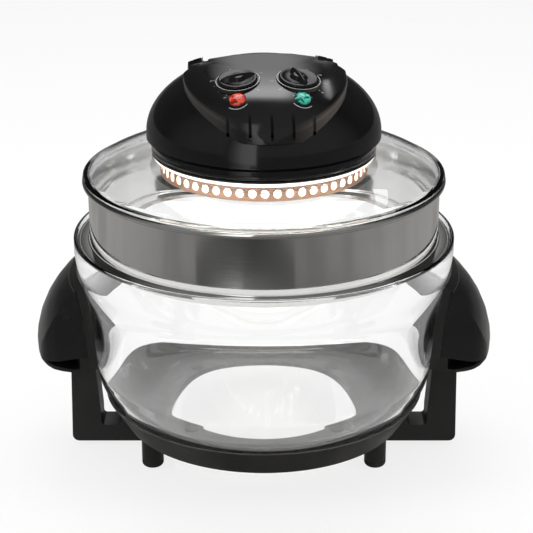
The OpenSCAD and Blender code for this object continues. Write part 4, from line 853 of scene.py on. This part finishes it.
def carved(bm, cutters):
    """The bmesh with each cutter's bmesh taken away from it."""
    objects = []
    for k, part in enumerate([bm] + cutters):
        mesh = bpy.data.meshes.new("scratch")
        part.to_mesh(mesh)
        part.free()
        objects.append(bpy.data.objects.new("scratch", mesh))
        bpy.context.scene.collection.objects.link(objects[-1])
    for cutter in objects[1:]:
        cut = objects[0].modifiers.new("cut", "BOOLEAN")
        cut.object = cutter
        cut.solver = "EXACT"
    bpy.context.view_layer.update()
    whole = objects[0].evaluated_get(bpy.context.evaluated_depsgraph_get())
    out = bmesh.new()
    out.from_mesh(whole.to_mesh())
    for scratch in objects:
        mesh = scratch.data
        bpy.data.objects.remove(scratch)
        bpy.data.meshes.remove(mesh)
    return out


def box_cutter(low_corner, high_corner, place):
    bm = bmesh.new()
    bmesh.ops.create_cube(bm, size=1)
    middle = (Vector(low_corner) + Vector(high_corner)) / 2 * MM
    size = (Vector(high_corner) - Vector(low_corner)) * MM
    stretched = Matrix.Translation(middle) @ Matrix.Diagonal((*size, 1))
    bmesh.ops.transform(bm, verts=bm.verts, matrix=place @ stretched)
    return bm


def rod_cutter(radius, z0, z1, place):
    return lathe([(0, z0), (radius, z0), (radius, z1), (0, z1)], 64, place)


def make_panel():
    """Makes the panel, and gives the tree that finds its face."""
    cutters = []
    for k in range(-2, 3):
        x = k * SLOT_PITCH
        front = PANEL_FRONT + SLOT_CURVE * x * x
        cutters.append(box_cutter((x - SLOT_W / 2, front + SLOT_Y[0], PANEL_LOW + SLOT_Z[0]),
                                  (x + SLOT_W / 2, front + SLOT_Y[1], PANEL_LOW + SLOT_Z[1]), HEAD))
    for side in (-1, 1):
        cutters.append(rod_cutter(LENS_R + 0.35, -5, 6, on_panel(side * LENS_X, LENS_PLACE)))
    bm = carved(panel_solid(), cutters)
    for side in (-1, 1):
        seat = [(0, -3), (SEAT_R, -3)] + arc((SEAT_R - 0.3, SEAT_H - 0.3), 0.3, 0, 90, 4) + [(0, SEAT_H)]
        lathe(seat, 96, on_panel(side * KNOB_X, KNOB_PLACE), bm)
    tree = BVHTree.FromBMesh(bm)
    add_piece("panel", bm, node="control_panel", angle=38)
    return tree


panel_tree = make_panel()


# ---------- printed dials ----------
# a print lies this far off the panel's face, which is sought from PRINT_REACH above
PRINT_LIFT = 0.04
PRINT_REACH = 8


def polar(radius, angle):
    """The point (x, y) at an angle in degrees."""
    a = math.radians(angle)
    return radius * math.cos(a), radius * math.sin(a)


def printed(bm, points, faces, place):
    """Adds a flat pattern (x, y) in a panel frame's plane, laid onto the panel's face."""
    down = (place.to_3x3() @ Vector((0, 0, -1))).normalized()
    verts = []
    for x, y in points:
        start = place @ Vector((x * MM, y * MM, PRINT_REACH * MM))
        spot = panel_tree.ray_cast(start, down)[0] or start + down * PRINT_REACH * MM
        verts.append(bm.verts.new(spot - down * PRINT_LIFT * MM))
    for face in faces:
        bm.faces.new([verts[k] for k in face])


def printed_arc(bm, place, radius, width, start, end):
    steps = int((end - start) / 4)
    points = [polar(r, start + (end - start) * i / steps)
              for i in range(steps + 1) for r in (radius - width / 2, radius + width / 2)]
    printed(bm, points, [(2 * i, 2 * i + 1, 2 * i + 3, 2 * i + 2) for i in range(steps)], place)


def printed_tick(bm, place, angle, r0, r1, width):
    along = Vector(polar(1, angle))
    across = Vector((-along.y, along.x))
    points = [along * r + across * w for r in (r0, r1) for w in (-width / 2, width / 2)]
    printed(bm, [tuple(p) for p in points], [(0, 2, 3, 1)], place)


def printed_number(bm, place, text, angle, radius, size):
    curve = bpy.data.curves.new("scratch", "FONT")
    curve.body = text
    curve.size = size
    curve.align_x = curve.align_y = "CENTER"
    scratch = bpy.data.objects.new("scratch", curve)
    bpy.context.scene.collection.objects.link(scratch)
    bpy.context.view_layer.update()
    mesh = bpy.data.meshes.new_from_object(scratch)
    bpy.data.objects.remove(scratch)
    bpy.data.curves.remove(curve)
    middle = polar(radius, angle)
    printed(bm, [(v.co.x + middle[0], v.co.y + middle[1]) for v in mesh.vertices],
            [p.vertices[:] for p in mesh.polygons], place)
    bpy.data.meshes.remove(mesh)


# angle of the first mark on both dials, and the marks of the thermostat's and how far they run round
ZERO_ANGLE = 102
HEAT_MARKS = (0, 65, 100, 125, 150, 175, 200, 225, 250)
HEAT_SWEEP = 270


def make_prints():
    bm = bmesh.new()
    timer = on_panel(-KNOB_X, KNOB_PLACE)
    heat = on_panel(KNOB_X, KNOB_PLACE)
    for place in (timer, heat):
        printed_arc(bm, place, SEAT_R - 0.62, 0.5, 0, 360)
    for minutes in range(0, 61, 5):
        angle = ZERO_ANGLE - 5 * minutes
        major = minutes % 15 == 0
        length, width = (2.3, 0.3) if major else (1.6, 0.22)
        printed_tick(bm, timer, angle, SEAT_R + 0.8, SEAT_R + length, width)
        if major:
            printed_number(bm, timer, str(minutes), angle, SEAT_R + 4.2, 2.1)
    for k, value in enumerate(HEAT_MARKS):
        angle = ZERO_ANGLE - HEAT_SWEEP * k / (len(HEAT_MARKS) - 1)
        printed_tick(bm, heat, angle, SEAT_R + 0.8, SEAT_R + 2.2, 0.28)
        printed_number(bm, heat, str(value), angle, SEAT_R + (4.6 if k else 4.2), 1.9)
    for side in (-1, 1):
        printed_arc(bm, on_panel(side * LENS_X, LENS_PLACE), 10.2, 0.55, 222, 318)
    add_piece("dial_prints", bm, body="lid", slot="panel_plastic", material="print_white")


make_prints()


# ---------- knobs and lenses ----------
def knob_blade(bm, place, base):
    """A leaf-shaped grip with a narrow crest, along the knob's X axis."""
    half, wide, high = 15.0, 5.2, 6.0
    stations, sides = 28, 14
    rows = []
    for i in range(stations + 1):
        u = -1 + 2 * i / stations
        body = max(0.02, 1 - abs(u) ** 2.4) ** 0.62
        w, h = wide * body, base + 2.0 + (high - 2.0) * (1 - 0.4 * u * u) * body ** 0.5
        row = []
        for k in range(sides + 1):
            v = -1 + 2 * k / sides
            lean = abs(v) ** 1.5
            y = w * (0.16 * v + 0.84 * v * lean)
            z = base + 1.4 + (h - base - 1.4) * (1 - abs(v) ** 3.2)
            row.append(bm.verts.new(place @ (Vector((half * u, y, z)) * MM)))
        rows.append(row)
    for a, b in zip(rows, rows[1:]):
        for k in range(sides):
            bm.faces.new((a[k], b[k], b[k + 1], a[k + 1]))


def make_knob(name, side, turn):
    place = on_panel(side * KNOB_X, KNOB_PLACE) @ Matrix.Rotation(math.radians(turn), 4, "Z")
    base = SEAT_H + 0.3
    outline = [(0, base), (KNOB_R - 0.3, base), (KNOB_R, base + 0.3)]
    outline += arc((KNOB_R - 1.5, base + 0.6), 1.5, 0, 90, 8)
    outline += bezier([(KNOB_R - 2.0, base + 2.1), (KNOB_R - 3.4, base + 2.0), (KNOB_R - 4.6, base + 1.6),
                       (KNOB_R - 7, base + 1.5)], 8)
    outline += [(7.6, base + 1.5), (5.2, base + 4.0), (4.6, base + 4.4), (0, base + 4.5)]
    bm = lathe(outline, 128, place)
    knob_blade(bm, place, base)
    bmesh.ops.recalc_face_normals(bm, faces=bm.faces)
    add_piece(name + "_grip", bm, node=name, angle=40)


def make_lens(name, side):
    """A faceted lens: staggered rows of facets round a small flat table."""
    place = on_panel(side * LENS_X, LENS_PLACE) @ Matrix.Translation((0, 0, -LENS_SINK * MM))
    outline = [(LENS_R, -3), (LENS_R, 0.9), (LENS_R * 0.88, 1.9), (LENS_R * 0.68, 2.6), (LENS_R * 0.44, 3.0),
               (1.2, 3.2)]
    count = 16
    bm = bmesh.new()
    rows = []
    for k, (r, z) in enumerate(outline):
        angles = [2 * math.pi * (i + 0.5 * (k % 2)) / count for i in range(count)]
        rows.append([bm.verts.new(place @ (Vector((r * math.cos(a), r * math.sin(a), z)) * MM))
                     for a in angles])
    for k, (a, b) in enumerate(zip(rows, rows[1:])):
        for i in range(count):
            n = (i + 1) % count
            if k % 2 == 0:
                bm.faces.new((a[i], a[n], b[i]))
                bm.faces.new((a[n], b[n], b[i]))
            else:
                bm.faces.new((a[i], a[n], b[n]))
                bm.faces.new((a[i], b[n], b[i]))
    bm.faces.new(rows[0])
    bm.faces.new(rows[-1])
    bmesh.ops.recalc_face_normals(bm, faces=bm.faces)
    add_piece(name + "_gem", bm, node=name, angle=5)


# each knob's side of the middle and its turn in degrees at rest
make_knob("timer_knob", -1, 12)
make_knob("thermostat_knob", 1, -70)
make_lens("red_lens", -1)
make_lens("green_lens", 1)
